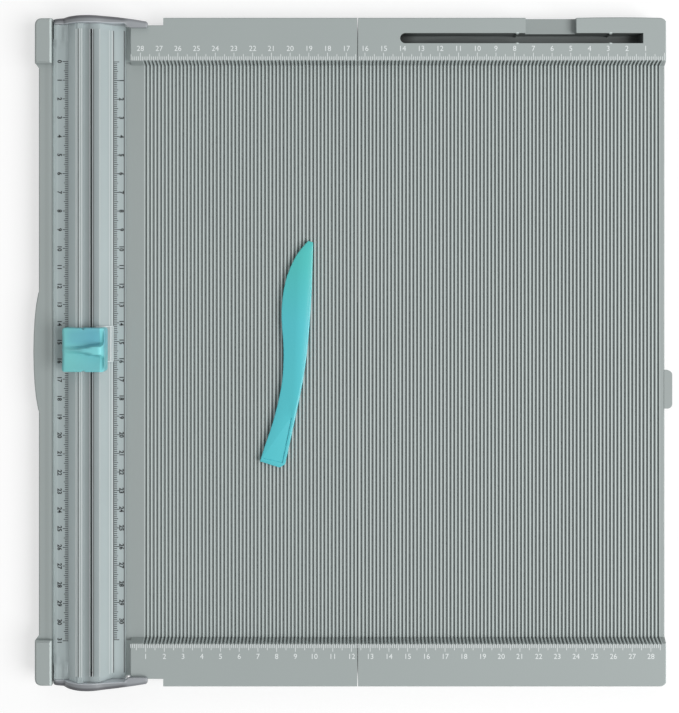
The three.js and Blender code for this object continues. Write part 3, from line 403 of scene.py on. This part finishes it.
class Finish:
    """A material under construction."""

    def __init__(self, name):
        self.material = bpy.data.materials.new(name)
        self.material.use_nodes = True
        self.tree = self.material.node_tree
        self.tree.nodes.clear()

    def node(self, kind, values=None, output=0, stops=None, **options):
        """Adds a node of a kind, sets its options and ramp stops, then its sockets' values or links."""
        made = self.tree.nodes.new("ShaderNode" + kind)
        for option, value in options.items():
            setattr(made, option, value)
        for index, (place, tint) in enumerate(stops or []):
            elements = made.color_ramp.elements
            stop = elements[index] if index < len(elements) else elements.new(place)
            stop.position = place
            stop.color = (*tint, 1)
        for socket, value in (values or {}).items():
            if isinstance(value, Signal):
                self.tree.links.new(value.socket, made.inputs[socket])
            else:
                made.inputs[socket].default_value = value
        return Signal(self, made, output)

    def maths(self, operation, *values):
        """A Math node on numbers or signals."""
        return self.node("Math", dict(enumerate(values)), operation=operation)

    def mix(self, factor, first, second):
        """A colour between two, by a factor."""
        return self.node("Mix", {0: factor, 6: first, 7: second}, output=2, data_type="RGBA")

    def place(self):
        """The object's own coordinates."""
        return self.node("TexCoord", output="Object")

    def noise(self, scale, detail=2.0, roughness=0.5, stretch=(1, 1, 1)):
        """Noise in the object's coordinates, with scale features a metre."""
        place = self.node("Mapping", {"Vector": self.place(), "Scale": stretch})
        return self.node("TexNoise", {"Vector": place, "Scale": scale, "Detail": detail, "Roughness": roughness})

    def ray(self, output):
        """What kind of ray meets the surface."""
        return self.node("LightPath", output=output)

    def across(self):
        """The object's own x, y and z."""
        parts = self.node("SeparateXYZ", {"Vector": self.place()})
        return parts, parts.out("Y"), parts.out("Z")

    def ramp(self, value, low, high, start=0.0, end=1.0, soft=False):
        """A value that goes from start to end while another goes from low to high."""
        return self.node(
            "MapRange", {0: value, 1: low, 2: high, 3: start, 4: end},
            interpolation_type="SMOOTHSTEP" if soft else "LINEAR",
        )

    def between(self, value, low, high, soft=0.1 * MM):
        """1 where a value lies between two others, with soft ends."""
        middle, half = (low + high) / 2, (high - low) / 2
        return self.ramp(abs(value - middle), half + soft / 2, half - soft / 2, soft=True)

    def varied(self, middle, *swings):
        """A value that noises, each given with its range, move up and down about its middle."""
        for noise, span in swings:
            middle = middle + (noise - 0.5) * span
        return middle

    def bump(self, height, distance, strength=1.0):
        """A normal from a height in metres."""
        return self.node("Bump", {"Height": height, "Distance": distance, "Strength": strength})

    def principled(self, values):
        """The finished surface."""
        surface = self.node("BsdfPrincipled", values)
        self.node("OutputMaterial", {"Surface": surface})
        return self.material


def shaded(tint, tone=1.0):
    """A colour made lighter or darker by a share of it."""
    return (*[min(max(c * tone, 0), 1) for c in tint], 1)


def toned(tone, *marks):
    """A tone that changes by a share under each mask, the marks given as (mask, share)."""
    for mask, change in marks:
        tone = tone * (1 + mask * (change - 1))
    return tone


def moulded(name, tint, roughness, grain=0.02 * MM, clouds=0.03, sheen=0.5):
    """Satin moulded plastic: fine grain, faint clouds of tone and small changes of gloss."""
    finish = Finish(name)
    cloud = finish.noise(scale=16, detail=3)
    fine = finish.noise(scale=2600, detail=3, roughness=0.6)
    speck = finish.noise(scale=900, detail=1)
    specks = 0.3
    mottle = cloud * (1 - specks) + speck * specks
    return finish.principled({
        "Base Color": finish.mix(mottle, shaded(tint, 1 - clouds), shaded(tint, 1 + clouds)),
        "Roughness": finish.varied(roughness, (fine, 0.12), (cloud, 0.06)),
        "Specular IOR Level": sheen,
        "Normal": finish.bump(fine, grain, strength=0.6),
    })


def board_plastic(name, tint, board):
    """The board's moulded plastic, with painted shade and painted highlights on each of its forms."""
    finish = Finish(name)
    cloud = finish.noise(scale=16, detail=3)
    fine = finish.noise(scale=2600, detail=3, roughness=0.6)
    plain = finish.mix(cloud, shaded(tint, 1 - board.clouds), shaded(tint, 1 + board.clouds))
    return finish.principled({
        "Base Color": finish.node("VectorMath", {0: plain, 1: board_tone(finish, board)}, operation="MULTIPLY"),
        "Roughness": finish.varied(0.5, (fine, 0.12), (cloud, 0.06)),
        "Normal": finish.bump(fine, 0.02 * MM, strength=0.6),
    })


def board_tone(finish, board):
    """The painted shade and painted highlights of each place on the board, as a share of its colour."""
    x, y, z = finish.across()
    on_rails, below_rails = z > RAIL_TOP - 0.6 * MM, z < RAIL_TOP - 0.9 * MM
    on_blocks, off_blocks = z > MARGIN_TOP + 2.5 * MM, z < MARGIN_TOP + 0.5 * MM
    below_margin = z < MARGIN_TOP - 0.4 * MM

    # Rails and bed: painted shade on the bed below the rails, and on the bed painted shade in the grooves with a
    # painted highlight on the lands between them.
    half = board.pitch / 2
    flank, crest = 0.5 * half, 0.72 * half
    rail = finish.ramp(z, RAIL_TOP - 1.2 * MM, RAIL_TOP - 0.3 * MM, board.bed_shade, 1.0)
    wave = finish.maths("PINGPONG", x - SEAM, half)
    painted_grooves = finish.ramp(wave, flank, crest, board.groove_shade, board.land_shade, soft=True)
    grooved = finish.between(x, board.first - half, board.last + half) * (abs(y) < board.reach)
    tone = rail * (1 - grooved) + grooved * painted_grooves * board.bed_shade

    # Painted shade inside the tool slot, darkest at its left end and streaked.
    wide = board.slot_width / 2 + SPARE
    slot = finish.between(x, board.slot_low, board.slot_high) * below_rails
    slot = slot * finish.between(y, board.slot_middle - wide, board.slot_middle + wide)
    streaks = finish.noise(scale=260, detail=3, stretch=(0.08, 1, 1))
    end = finish.ramp(x, board.slot_low, board.slot_low + board.slot_fade, board.slot_end_shade, 1.0)
    inside = end * finish.varied(board.slot_shade, (streaks, board.slot_streaks))
    tone = tone * (1 - slot) + slot * inside

    # Small forms with painted light, painted shade and painted highlights of their own, and the lighter tops of
    # the nibs.
    # Painted light in the gap beside the arm, where shade falls.
    gap = finish.between(x, MARGIN_EDGE - SPARE, ARM[0].x + SPARE) * (abs(y) < board.reach - 2 * MM)
    # Painted light on the arm's seat beside the rails, where shade falls.
    seat = finish.between(x, ARM[1].x - 1 * MM, ARM[1].x + board.seat_width) * (abs(y) > board.reach)
    # Painted shade on the floor of the finger notch.
    notch = finish.between(x, board.notch_low, board.notch_high) * (y > board.slot_middle + wide)
    notch = notch * finish.between(z, board.notch_floor - 0.2 * MM, board.notch_floor + 0.2 * MM)
    # Painted highlight along the edge of the corner blocks.
    edge = finish.between(x, MARGIN_EDGE - board.edge_width, MARGIN_EDGE + SPARE, soft=0.3 * MM)
    # The tops of the nibs are drawn lighter, as white dots beside the slot.
    nib = board.nib_width / 2
    nibs = finish.maths("MAXIMUM", *(
        finish.between(x, place - nib, place + nib, soft=0.5 * MM) for place in board.nib_places
    ))
    nibs = nibs * finish.between(abs(y - board.slot_middle), board.nib_inner, board.nib_outer, soft=0.3 * MM)
    # Painted shade and painted highlight in strips along the left margin.
    painted_bands = [
        (finish.between(x, MARGIN_EDGE + low, MARGIN_EDGE + high, soft=soft) * off_blocks, change)
        for low, high, soft, change in PAINTED_MARGIN_BANDS
    ]
    return toned(
        tone, (gap * below_margin, board.gap_shade), (seat * (z < MARGIN_TOP), board.seat_shade),
        (notch, board.notch_shade), (edge * on_blocks, board.edge_shade), (nibs * on_rails, board.nib_shade),
        *painted_bands,
    )


def cap_plastic(name, outer, inner, cap):
    """Smooth plastic of the end caps, with painted shade and dark reflection along the outer arc, a painted
    highlight on the tab and painted light on the inner side towards the arm.
    """
    finish = Finish(name)
    x, y, _ = finish.across()
    fine = finish.noise(scale=1800, detail=3)
    dust, dust_tint = 0.08, (0.02, 0.02, 0.02, 1)
    bow = finish.maths("POWER", abs(x - cap.middle), 2) * cap.bow
    # Painted shade and dark reflection along the outer arc, a painted highlight on the tab and painted light on
    # the inner side.
    arc = finish.ramp(abs(y) + bow, cap.arc_start, cap.arc_end, soft=True)
    tab = finish.between(x, ARM[1].x + cap.tab_start, ARM[1].x + cap.tab_end, soft=cap.tab_soft)
    inside = finish.ramp(abs(y), cap.inside_start, cap.inside_end, 1.0, 0.0)
    tone = finish.mix(arc, shaded(inner), shaded(outer))
    tone = finish.mix(tab * (1 - arc * 0.5), tone, shaded(inner, cap.tab_shade))
    tone = finish.mix(inside * (1 - tab), tone, shaded(inner, cap.inside_shade))
    return finish.principled({
        "Base Color": finish.mix(fine * dust, tone, dust_tint),
        "Roughness": finish.varied(0.3, (fine, 0.1)),
        "Normal": finish.bump(fine, 0.006 * MM, strength=0.5),
    })


def carriage_plastic(name, tints, form):
    """Satin plastic of the carriage, with painted shade that turns it darker and bluer towards the right and in
    the hollows, and painted highlights on the crest at the right and on the fin.
    """
    finish = Finish(name)
    low, high = CARRIAGE
    x, y, z = finish.across()
    fine = finish.noise(scale=2200, detail=3)
    cloud = finish.noise(scale=90, detail=2)

    # Painted shade: from left to right the colour turns darker and bluer, less so at the front.
    right = finish.ramp(finish.varied(x, (cloud, 2 * MM)), low.x, low.x + 15 * MM)
    rear = finish.ramp(y, low.y + 7 * MM, high.y - 7 * MM, form.front, 1.0)
    tone = finish.mix(right * rear, shaded(tints.carriage_left), shaded(tints.carriage_right))

    # Painted highlight on the bright crest at the right and on the top of the fin between the scoops.
    painted_ridge = finish.between(x, high.x - 2.6 * MM, high.x - 0.5 * MM, soft=0.8 * MM)
    raised_highlight = finish.ramp(z, low.z + 10.6 * MM, high.z, soft=True)
    tone = finish.mix(finish.maths("MAXIMUM", painted_ridge, raised_highlight), tone, shaded(tints.carriage_ridge))

    # Painted shade, deepest in the middle of the rear scoop.
    hollow = finish.between(y, low.y + 14.2 * MM, high.y - 1.2 * MM, soft=5 * MM)
    hollow = hollow * finish.between(x, low.x + 3 * MM, high.x - 4 * MM, soft=6 * MM)
    tone = finish.mix(hollow * form.hollow, tone, shaded(tints.carriage_deep))

    # Painted shade on the fin's rear face and along the left edge.
    normal = finish.node("TexCoord", output="Normal")
    turned = finish.node("SeparateXYZ", {"Vector": normal}, output="Y")
    painted_wall_shade = finish.ramp(turned, 0.35, 0.9) * finish.between(y, low.y + 11 * MM, low.y + 17 * MM)
    along = finish.ramp(x, low.x + 4 * MM, high.x - 7 * MM, 0.1, 0.3)
    tone = finish.mix(painted_wall_shade * along, tone, shaded(tints.carriage_deep, 0.35))
    rim = finish.ramp(x, low.x + 0.3 * MM, low.x + 1.6 * MM, form.rim, 0.0)
    tone = finish.mix(rim, tone, shaded(tints.carriage_right, 0.5))
    return finish.principled({
        "Base Color": tone,
        "Roughness": finish.varied(0.4, (fine, 0.1)),
        "Normal": finish.bump(fine, 0.01 * MM, strength=0.5),
    })


def tool_plastic(name, tint, tip, tool):
    """Glossy plastic of the loose tool, a little greener towards its tip."""
    finish = Finish(name)
    _, y, _ = finish.across()
    cloud = finish.noise(scale=30, detail=2)
    fine = finish.noise(scale=2400, detail=3)
    towards_tip = finish.ramp(y, TOOL[1].y - tool.tip_start, TOOL[1].y - tool.tip_end)
    return finish.principled({
        "Base Color": finish.mix(finish.varied(towards_tip, (cloud, 0.3)), shaded(tint), shaded(tip)),
        "Roughness": finish.varied(0.26, (fine, 0.08)),
        "Normal": finish.bump(fine, 0.005 * MM, strength=0.5),
    })


def clear_plastic(name, tint, opacity, lines=(), painted_zones=()):
    """Clear plastic with a faint smoke and fine scratches along its length. Each zone is painted shade and
    highlight across it, as (x, share). A line is a box as (low, high) for x and y, with a colour and an opacity
    of its own; the lines are painted highlights, reflections and shadows."""
    finish = Finish(name)
    x, y, _ = finish.across()
    smoke = finish.noise(scale=24, detail=2)
    scratches = finish.noise(scale=300, detail=3, stretch=(6, 0.03, 6))
    tone = finish.mix(smoke, shaded(tint, 0.96), shaded(tint, 1.04))
    alpha = finish.varied(opacity, (smoke, 0.05))
    if painted_zones:
        start, end = painted_zones[0][0], painted_zones[-1][0]
        stops = [((place - start) / (end - start), (grey, grey, grey)) for place, grey in painted_zones]
        painted_bands = finish.node("ValToRGB", {0: finish.ramp(x, start, end)}, stops=stops)
        tone = finish.node("VectorMath", {0: tone, 1: painted_bands}, operation="MULTIPLY")
    for (left, right), (front, rear), shade, line_opacity in lines:
        here = finish.between(x, left, right) * finish.between(y, front, rear)
        tone = finish.mix(here, tone, shaded(shade))
        alpha = alpha * (1 - here) + here * line_opacity
    return finish.principled({
        "Base Color": tone,
        "Roughness": finish.varied(0.12, (scratches, 0.08)),
        "IOR": 1.49,
        "Specular IOR Level": 0.35,
        "Alpha": alpha,
    })


def ink(name, tint):
    """Printed ink with small gaps of tone."""
    finish = Finish(name)
    speck = finish.noise(scale=3000, detail=2)
    return finish.principled({
        "Base Color": finish.mix(speck, shaded(tint, 0.9), shaded(tint, 1.08)),
        "Roughness": finish.varied(0.5, (speck, 0.1)),
    })


def ground_steel(name, tint):
    """Steel with fine grinding marks round its length."""
    finish = Finish(name)
    marks = finish.noise(scale=1500, detail=4, stretch=(1, 8, 1))
    return finish.principled({
        "Base Color": finish.mix(marks, shaded(tint, 0.9), shaded(tint, 1.05)),
        "Metallic": 1.0,
        "Roughness": finish.varied(0.28, (marks, 0.15)),
        "Normal": finish.bump(marks, 0.004 * MM),
    })


def select_only(*objects):
    """Selects these objects alone, the first one active."""
    for other in bpy.context.view_layer.objects:
        other.select_set(False)
    for each in objects:
        each.select_set(True)
    bpy.context.view_layer.objects.active = objects[0]


def apply_modifier(piece, kind, **options):
    """Adds one modifier to a piece and applies it."""
    modifier = piece.modifiers.new(kind.title(), kind)
    for option, value in options.items():
        setattr(modifier, option, value)
    select_only(piece)
    bpy.ops.object.modifier_apply(modifier=modifier.name)


def place_in_mesh(*objects):
    """Moves the place, turn and scale of objects into their meshes."""
    select_only(*objects)
    bpy.ops.object.transform_apply(location=True, rotation=True, scale=True)


def joined(name, pieces):
    """One object from several."""
    select_only(*pieces)
    if len(pieces) > 1:
        bpy.ops.object.join()
    whole = bpy.context.view_layer.objects.active
    whole.name = whole.data.name = name
    return whole


def finished(piece, body, material):
    """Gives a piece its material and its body."""
    piece.data.materials.clear()
    piece.data.materials.append(material)
    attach(piece, body)
    return piece


def dress(material, *names):
    """Gives nodes of the frame a material."""
    for name in names:
        NODES[name].data.materials.clear()
        NODES[name].data.materials.append(material)


def merged_copy(node, name):
    """A copy of a frame node whose loose triangles are joined into clean faces."""
    piece = NODES[node].copy()
    piece.data = NODES[node].data.copy()
    piece.parent = None
    for key in list(piece.keys()):
        del piece[key]
    piece.name = piece.data.name = name
    bpy.context.collection.objects.link(piece)
    select_only(piece)
    bpy.ops.object.mode_set(mode="EDIT")
    bpy.ops.mesh.select_all(action="SELECT")
    bpy.ops.mesh.remove_doubles(threshold=0.002 * MM)
    bpy.ops.mesh.dissolve_limited(angle_limit=math.radians(0.5))
    bpy.ops.object.mode_set(mode="OBJECT")
    return piece


def widen_left(piece, limit, step):
    """Draws the part of a piece that lies left of a limit further to the left."""
    select_only(piece)
    bpy.ops.object.mode_set(mode="EDIT")
    bpy.ops.mesh.select_mode(type="VERT")
    bpy.ops.mesh.select_all(action="DESELECT")
    bpy.ops.object.mode_set(mode="OBJECT")
    for vertex in piece.data.vertices:
        vertex.select = vertex.co.x < limit
    bpy.ops.object.mode_set(mode="EDIT")
    bpy.ops.transform.translate(value=(-step, 0, 0))
    bpy.ops.object.mode_set(mode="OBJECT")


def soften(piece, width, angle, smooth, segments=2):
    """Rounds the sharp edges of a piece and shades it smooth between them."""
    apply_modifier(
        piece, "BEVEL", width=width, segments=segments, limit_method="ANGLE", angle_limit=math.radians(angle),
        use_clamp_overlap=True, miter_outer="MITER_ARC",
    )
    select_only(piece)
    bpy.ops.object.shade_smooth_by_angle(angle=math.radians(smooth))


def tick_row(first, step, count, size):
    """A row of thin bars, the first with its middle at a place, each one a step from the last."""
    bpy.ops.mesh.primitive_cube_add(size=1, location=first, scale=size)
    bar = bpy.context.object
    place_in_mesh(bar)
    if count > 1:
        apply_modifier(
            bar, "ARRAY", count=count, use_relative_offset=False, use_constant_offset=True,
            constant_offset_displace=step,
        )
    return bar


def ticks(zero, along, out, low, high, ruler, line, reaches):
    """Bars of one ruler between two distances from its nought: every millimetre has a short bar, and
    each fifth and tenth one goes on a little further."""
    bars = []
    gap = ruler.centimetre / CENTIMETRE_TICKS
    starts = (0, *(reach + ruler.hair for reach in reaches[:-1]))
    for spacing, start, end in zip((1, HALF_TICKS, CENTIMETRE_TICKS), starts, reaches):
        first = math.ceil(low / spacing) * spacing
        count = math.floor((high - first) / spacing) + 1
        middle = zero + along * (first * gap) + out * ((start + end) / 2)
        size = [abs(a) * line + abs(o) * (end - start) for a, o in zip(along, out)]
        size[2] = ruler.ink
        bars.append(tick_row(middle, along * (spacing * gap), count, size))
    return bars


def digit_share():
    """The height of the font's digits as a share of its size."""
    bpy.ops.object.text_add()
    sample = bpy.context.object
    sample.data.body = "8"
    bpy.context.view_layer.update()
    share = sample.dimensions.y / sample.data.size
    bpy.data.objects.remove(sample)
    return share


def numbers(labels, turn, height, boldness, ruler):
    """Flat numbers with a little thickness, each (text, place) centred on its place."""
    size = height / digit_share()
    made = []
    for text, place in labels:
        bpy.ops.object.text_add(location=place, rotation=(0, 0, turn))
        label = bpy.context.object
        label.data.body = text
        label.data.size = size
        label.data.align_x = "CENTER"
        label.data.align_y = "CENTER"
        label.data.extrude = ruler.ink / 2
        label.data.offset = boldness
        label.data.resolution_u = 3
        made.append(label)
    select_only(*made)
    bpy.ops.object.convert(target="MESH")
    place_in_mesh(*made)
    return made


class BOARD_OT_halves(bpy.types.Operator):
    """Gives both halves of the board their moulded finish with painted shade and highlights, and the strip its
    own
    """

    bl_idname = "scoring_board.halves"
    bl_label = "Board halves"

    def execute(self, context):
        tints = settings("finish")
        dress(board_plastic("board_plastic", tints.board, settings("board")), "left_board", "right_board")
        dress(moulded("strip_plastic", tints.strip, 0.6), "cutting_strip")
        return {"FINISHED"}


class BOARD_OT_small_parts(bpy.types.Operator):
    """Gives the feet, pins, screws, keeper, cartridge and blade their finishes"""

    bl_idname = "scoring_board.small_parts"
    bl_label = "Feet, pins and screws"

    def execute(self, context):
        tints = settings("finish")
        feet = [name for name in NODES if "_foot_" in name]
        dress(moulded("foot_rubber", tints.rubber, 0.85, grain=0.05 * MM, sheen=0.2), *feet)
        pins = [name for name in NODES if "_pin_" in name or "_screw_" in name]
        dress(ground_steel("ground_steel", tints.steel), *pins, "carriage_keeper", "cutting_blade")
        dress(moulded("cartridge_plastic", tints.dark, 0.5), "blade_cartridge")
        return {"FINISHED"}


class BOARD_OT_rail_rulers(bpy.types.Operator):
    """Prints the white rulers on the rear and front rails, each in two halves"""

    bl_idname = "scoring_board.rail_rulers"
    bl_label = "Rail rulers"

    def execute(self, context):
        ruler = settings("ruler")
        white = ink("white_ink", settings("finish").white_ink)
        height = RAIL_TOP + ruler.ink / 2
        rails = (
            ("rear", ruler.rear_zero, ruler.rear_numbers, 1),
            ("front", ruler.front_zero, ruler.front_numbers, -1),
        )
        for side, zero, number_place, outward in rails:
            start = Vector((zero, outward * ruler.rail_edge, height))
            along, out = Vector((-outward, 0, 0)), Vector((0, outward, 0))
            self.print_rail(side, start, along, out, number_place, white, ruler)
        return {"FINISHED"}

    def print_rail(self, side, start, along, out, number_place, white, ruler):
        """Prints one rail's ruler, split at the fold."""
        gap = ruler.centimetre / CENTIMETRE_TICKS
        last_tick = ruler.rail_count * CENTIMETRE_TICKS + HALF_TICKS
        reaches = (ruler.millimetre_tick, ruler.half_tick, ruler.centimetre_tick)
        spans = (
            ("left_half", ruler.rail_start, SEAM - ruler.seam_gap),
            ("right_half", SEAM + ruler.seam_gap, RAIL_END),
        )
        for body, low_x, high_x in spans:
            ends = sorted((x - start.x) / (along.x * gap) for x in (low_x, high_x))
            low, high = max(ends[0], 0), min(ends[1], last_tick)
            pieces = ticks(start, along, out, low, high, ruler, ruler.line, reaches)
            labels = []
            for count in range(1, ruler.rail_count + 1):
                x = start.x + along.x * count * ruler.centimetre
                if low_x < x < high_x:
                    labels.append((str(count), (x, out.y * number_place, start.z)))
            pieces += numbers(labels, 0, ruler.digits, ruler.rail_boldness, ruler)
            finished(joined(f"{side}_ruler_{body}", pieces), body, white)


class BOARD_OT_arm(bpy.types.Operator):
    """Makes the clear arm with rounded edges from the frame's arm, with painted shade, highlights and shadow
    lines
    """

    bl_idname = "scoring_board.arm"
    bl_label = "Clear arm"

    def execute(self, context):
        arm = settings("arm")
        left = ARM[0].x
        run = (ARM[0].y + arm.line_inset, ARM[1].y - arm.line_inset)
        painted_stripes = [(place, width, [c * tone for c in PAINTED_LINE_COLOUR]) for place, width, tone in ARM_PAINTED_LINES]
        painted_stripes.append((arm.slot, 2 * arm.slot_dark, SLOT_SHADOW_COLOUR))
        lines = [
            ((left + place - width / 2, left + place + width / 2), run, tint, arm.line_opacity)
            for place, width, tint in painted_stripes
        ]
        painted_zones = [(left + place, tone) for place, tone in ARM_PAINTED_SHADING]
        plastic = clear_plastic("arm_plastic", settings("finish").clear, arm.opacity, lines, painted_zones)
        piece = merged_copy("ruler_arm", "clear_arm")
        widen_left(piece, left + arm.rim, arm.overlap)
        soften(piece, arm.edge, angle=20, smooth=40)
        finished(piece, "arm", plastic)
        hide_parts("ruler_arm")
        return {"FINISHED"}


class BOARD_OT_sight_plate(bpy.types.Operator):
    """Gives the sight plate its clear finish with painted highlights near its edges"""

    bl_idname = "scoring_board.sight_plate"
    bl_label = "Sight plate"

    def execute(self, context):
        sight, tints = settings("sight"), settings("finish")
        low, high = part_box("sight_plate")
        front, right = low.y + sight.inset, high.x - sight.inset
        second = right - sight.spacing
        along, whole = (front, high.y), (low.x, right)
        places = [
            ((right - sight.line, right), along), ((second - sight.line, second), along),
            (whole, (high.y - sight.line, high.y)), (whole, (front, front + sight.line)),
        ]
        # Painted highlights on the plate's edges, in the white ink's colour.
        lines = [(across, run, tints.white_ink, sight.line_opacity) for across, run in places]
        dress(clear_plastic("sight_plastic", tints.clear, sight.opacity, lines), "sight_plate")
        return {"FINISHED"}


class BOARD_OT_arm_rulers(bpy.types.Operator):
    """Prints the black rulers on both wings of the arm"""

    bl_idname = "scoring_board.arm_rulers"
    bl_label = "Arm rulers"

    def execute(self, context):
        ruler, arm = settings("ruler"), settings("arm")
        black = ink("black_ink", settings("finish").black_ink)
        reaches = (ruler.arm_tick, ruler.arm_half_tick, ruler.arm_centimetre_tick)
        wings = (
            ("left", arm.left_ticks, arm.left_numbers, arm.left_top, -1, range(0, ruler.arm_last + 1)),
            ("right", arm.right_ticks, arm.right_numbers, arm.right_top, 1, range(1, ruler.arm_last)),
        )
        for name, tick_place, number_place, top, outward, counts in wings:
            height = top + ruler.ink / 2
            start = Vector((ARM[0].x + tick_place, ruler.arm_zero, height))
            out = Vector((outward, 0, 0))
            last_tick = ruler.arm_last * CENTIMETRE_TICKS
            pieces = ticks(start, Vector((0, -1, 0)), out, 0, last_tick, ruler, ruler.arm_line, reaches)
            labels = []
            for count in counts:
                y = ruler.arm_zero - count * ruler.centimetre
                labels.append((str(count), (ARM[0].x + number_place, y, height)))
            pieces += numbers(labels, -math.pi / 2, ruler.arm_digits, ruler.arm_boldness, ruler)
            finished(joined(f"arm_ruler_{name}", pieces), "arm", black)
        return {"FINISHED"}


class BOARD_OT_caps(bpy.types.Operator):
    """Makes the end caps of the arm with soft edges"""

    bl_idname = "scoring_board.caps"
    bl_label = "End caps"

    def execute(self, context):
        cap, tints = settings("cap"), settings("finish")
        plastic = cap_plastic("cap_plastic", tints.cap, tints.cap_inner, cap)
        for side in ("rear", "front"):
            piece = merged_copy("arm_cap_" + side, "soft_cap_" + side)
            soften(piece, cap.edge, angle=28, smooth=40, segments=3)
            finished(piece, "arm", plastic)
            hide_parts("arm_cap_" + side)
        return {"FINISHED"}


class BOARD_OT_carriage(bpy.types.Operator):
    """Makes the carriage with smooth finger scoops"""

    bl_idname = "scoring_board.carriage"
    bl_label = "Carriage"

    def execute(self, context):
        form = settings("carriage")
        plastic = carriage_plastic("carriage_plastic", settings("finish"), form)
        piece = merged_copy("carriage", "finger_carriage")
        apply_modifier(piece, "REMESH", mode="VOXEL", voxel_size=form.grid, use_smooth_shade=True)
        upper = piece.vertex_groups.new(name="upper")
        upper.add([v.index for v in piece.data.vertices if v.co.z > form.upper], 1.0, "REPLACE")
        apply_modifier(piece, "SMOOTH", factor=0.5, iterations=form.rounds, vertex_group=upper.name)
        piece.vertex_groups.clear()
        finished(piece, "carriage", plastic)
        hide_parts("carriage")
        return {"FINISHED"}


class BOARD_OT_tool(bpy.types.Operator):
    """Gives the loose tool its finish and rounded edges"""

    bl_idname = "scoring_board.tool"
    bl_label = "Scoring tool"

    def execute(self, context):
        tool, tints = settings("tool"), settings("finish")
        plastic = tool_plastic("tool_plastic", tints.tool, tints.tool_tip, tool)
        piece = merged_copy("scoring_tool", "creasing_tool")
        soften(piece, tool.edge, angle=40, smooth=40, segments=3)
        finished(piece, "tool", plastic)
        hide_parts("scoring_tool")
        return {"FINISHED"}


class BOARD_OT_stage(bpy.types.Operator):
    """Adds the floor, the soft lights and the camera that looks straight down"""

    bl_idname = "scoring_board.stage"
    bl_label = "Studio"

    def execute(self, context):
        studio = settings("studio")
        self.add_floor(studio)
        self.add_lights(studio)
        self.add_camera(studio)
        return {"FINISHED"}

    def add_floor(self, studio):
        """A wide pale floor at the level of the feet. It glows a little where it is seen, so that it stays
        pale in the picture, but not close to the board, where the glow would show through its gaps."""
        finish = Finish("pale_floor")
        tint = settings("finish").floor
        grain = finish.mix(finish.noise(scale=60, detail=2), shaded(tint, 0.995), shaded(tint))
        seen = finish.maths("MAXIMUM", finish.ray("Is Camera Ray"), finish.ray("Is Glossy Ray"))
        seen = finish.maths("MAXIMUM", seen, finish.ray("Is Transmission Ray"))
        open_sky = finish.node("AmbientOcclusion", {"Distance": studio.contact}, output="AO", samples=12)
        covered, free = 0.08, 0.4
        glow = seen * finish.ramp(open_sky, covered, free, soft=True)
        bpy.ops.mesh.primitive_plane_add(size=studio.floor_size, location=(0, 0, 0))
        floor = bpy.context.object
        floor.name = "floor"
        floor.data.materials.append(finish.principled({
            "Base Color": finish.mix(seen, grain, shaded(tint, studio.floor_share)),
            "Roughness": 0.9,
            "Specular IOR Level": 0.2,
            "Emission Color": finish.mix(glow, (0, 0, 0, 1), shaded((1, 1, 1), studio.floor_lift)),
            "Emission Strength": 1.0,
        }))

    def add_lights(self, studio):
        """A soft key at the right, a soft fill at the rear and an even sky."""
        for name in ("key", "fill"):
            place = Vector(getattr(studio, name + "_place"))
            data = bpy.data.lights.new(name, "AREA")
            data.size = getattr(studio, name + "_size")
            data.energy = getattr(studio, name + "_power")
            lamp = bpy.data.objects.new(name, data)
            lamp.location = place
            lamp.rotation_euler = (-place).to_track_quat("-Z", "Y").to_euler()
            bpy.context.collection.objects.link(lamp)
        world = bpy.data.worlds.new("even_sky")
        world.use_nodes = True
        sky = world.node_tree.nodes["Background"].inputs
        sky["Strength"].default_value = studio.sky
        sky["Color"].default_value = (1, 1, 1, 1)
        bpy.context.scene.world = world

    def add_camera(self, studio):
        """A camera that looks straight down, shifted so that the picture frames the board."""
        data = bpy.data.cameras.new("camera")
        data.sensor_width = 36
        data.lens = data.sensor_width * studio.camera_height / studio.view_height
        data.shift_x = (studio.view_x - studio.camera_x) / studio.view_height
        data.shift_y = (studio.view_y - studio.camera_y) / studio.view_height
        data.clip_start = 0.01
        camera = bpy.data.objects.new("camera", data)
        camera.location = (studio.camera_x, studio.camera_y, studio.deck + studio.camera_height)
        bpy.context.collection.objects.link(camera)
        scene = bpy.context.scene
        scene.camera = camera
        scene.view_settings.view_transform = "Standard"


OPERATORS = (
    BOARD_OT_halves, BOARD_OT_small_parts, BOARD_OT_rail_rulers, BOARD_OT_arm, BOARD_OT_sight_plate,
    BOARD_OT_arm_rulers, BOARD_OT_caps, BOARD_OT_carriage, BOARD_OT_tool, BOARD_OT_stage,
)


class BOARD_PT_dressing(bpy.types.Panel):
    """Lists the steps that dress the board"""

    bl_label = "Scoring Board"
    bl_idname = "BOARD_PT_dressing"
    bl_space_type = "VIEW_3D"
    bl_region_type = "UI"
    bl_category = "Scoring Board"

    def draw(self, context):
        for operator in OPERATORS:
            self.layout.operator(operator.bl_idname)
        for name, group in GROUPS.items():
            box = self.layout.box()
            for key in group.__annotations__:
                box.prop(getattr(context.scene, "board_" + name), key)


def register():
    for group in GROUPS.values():
        bpy.utils.register_class(group)
    for name, group in GROUPS.items():
        setattr(bpy.types.Scene, "board_" + name, PointerProperty(type=group))
    for each in (*OPERATORS, BOARD_PT_dressing):
        bpy.utils.register_class(each)


def unregister():
    for each in reversed((*OPERATORS, BOARD_PT_dressing)):
        bpy.utils.unregister_class(each)
    for name, group in GROUPS.items():
        delattr(bpy.types.Scene, "board_" + name)
        bpy.utils.unregister_class(group)


def main():
    register()
    bpy.ops.scoring_board.halves()
    bpy.ops.scoring_board.small_parts()
    bpy.ops.scoring_board.rail_rulers()
    bpy.ops.scoring_board.arm()
    bpy.ops.scoring_board.sight_plate()
    bpy.ops.scoring_board.arm_rulers()
    bpy.ops.scoring_board.caps()
    bpy.ops.scoring_board.carriage()
    bpy.ops.scoring_board.tool()
    bpy.ops.scoring_board.stage()


if __name__ == "__main__":
    main()
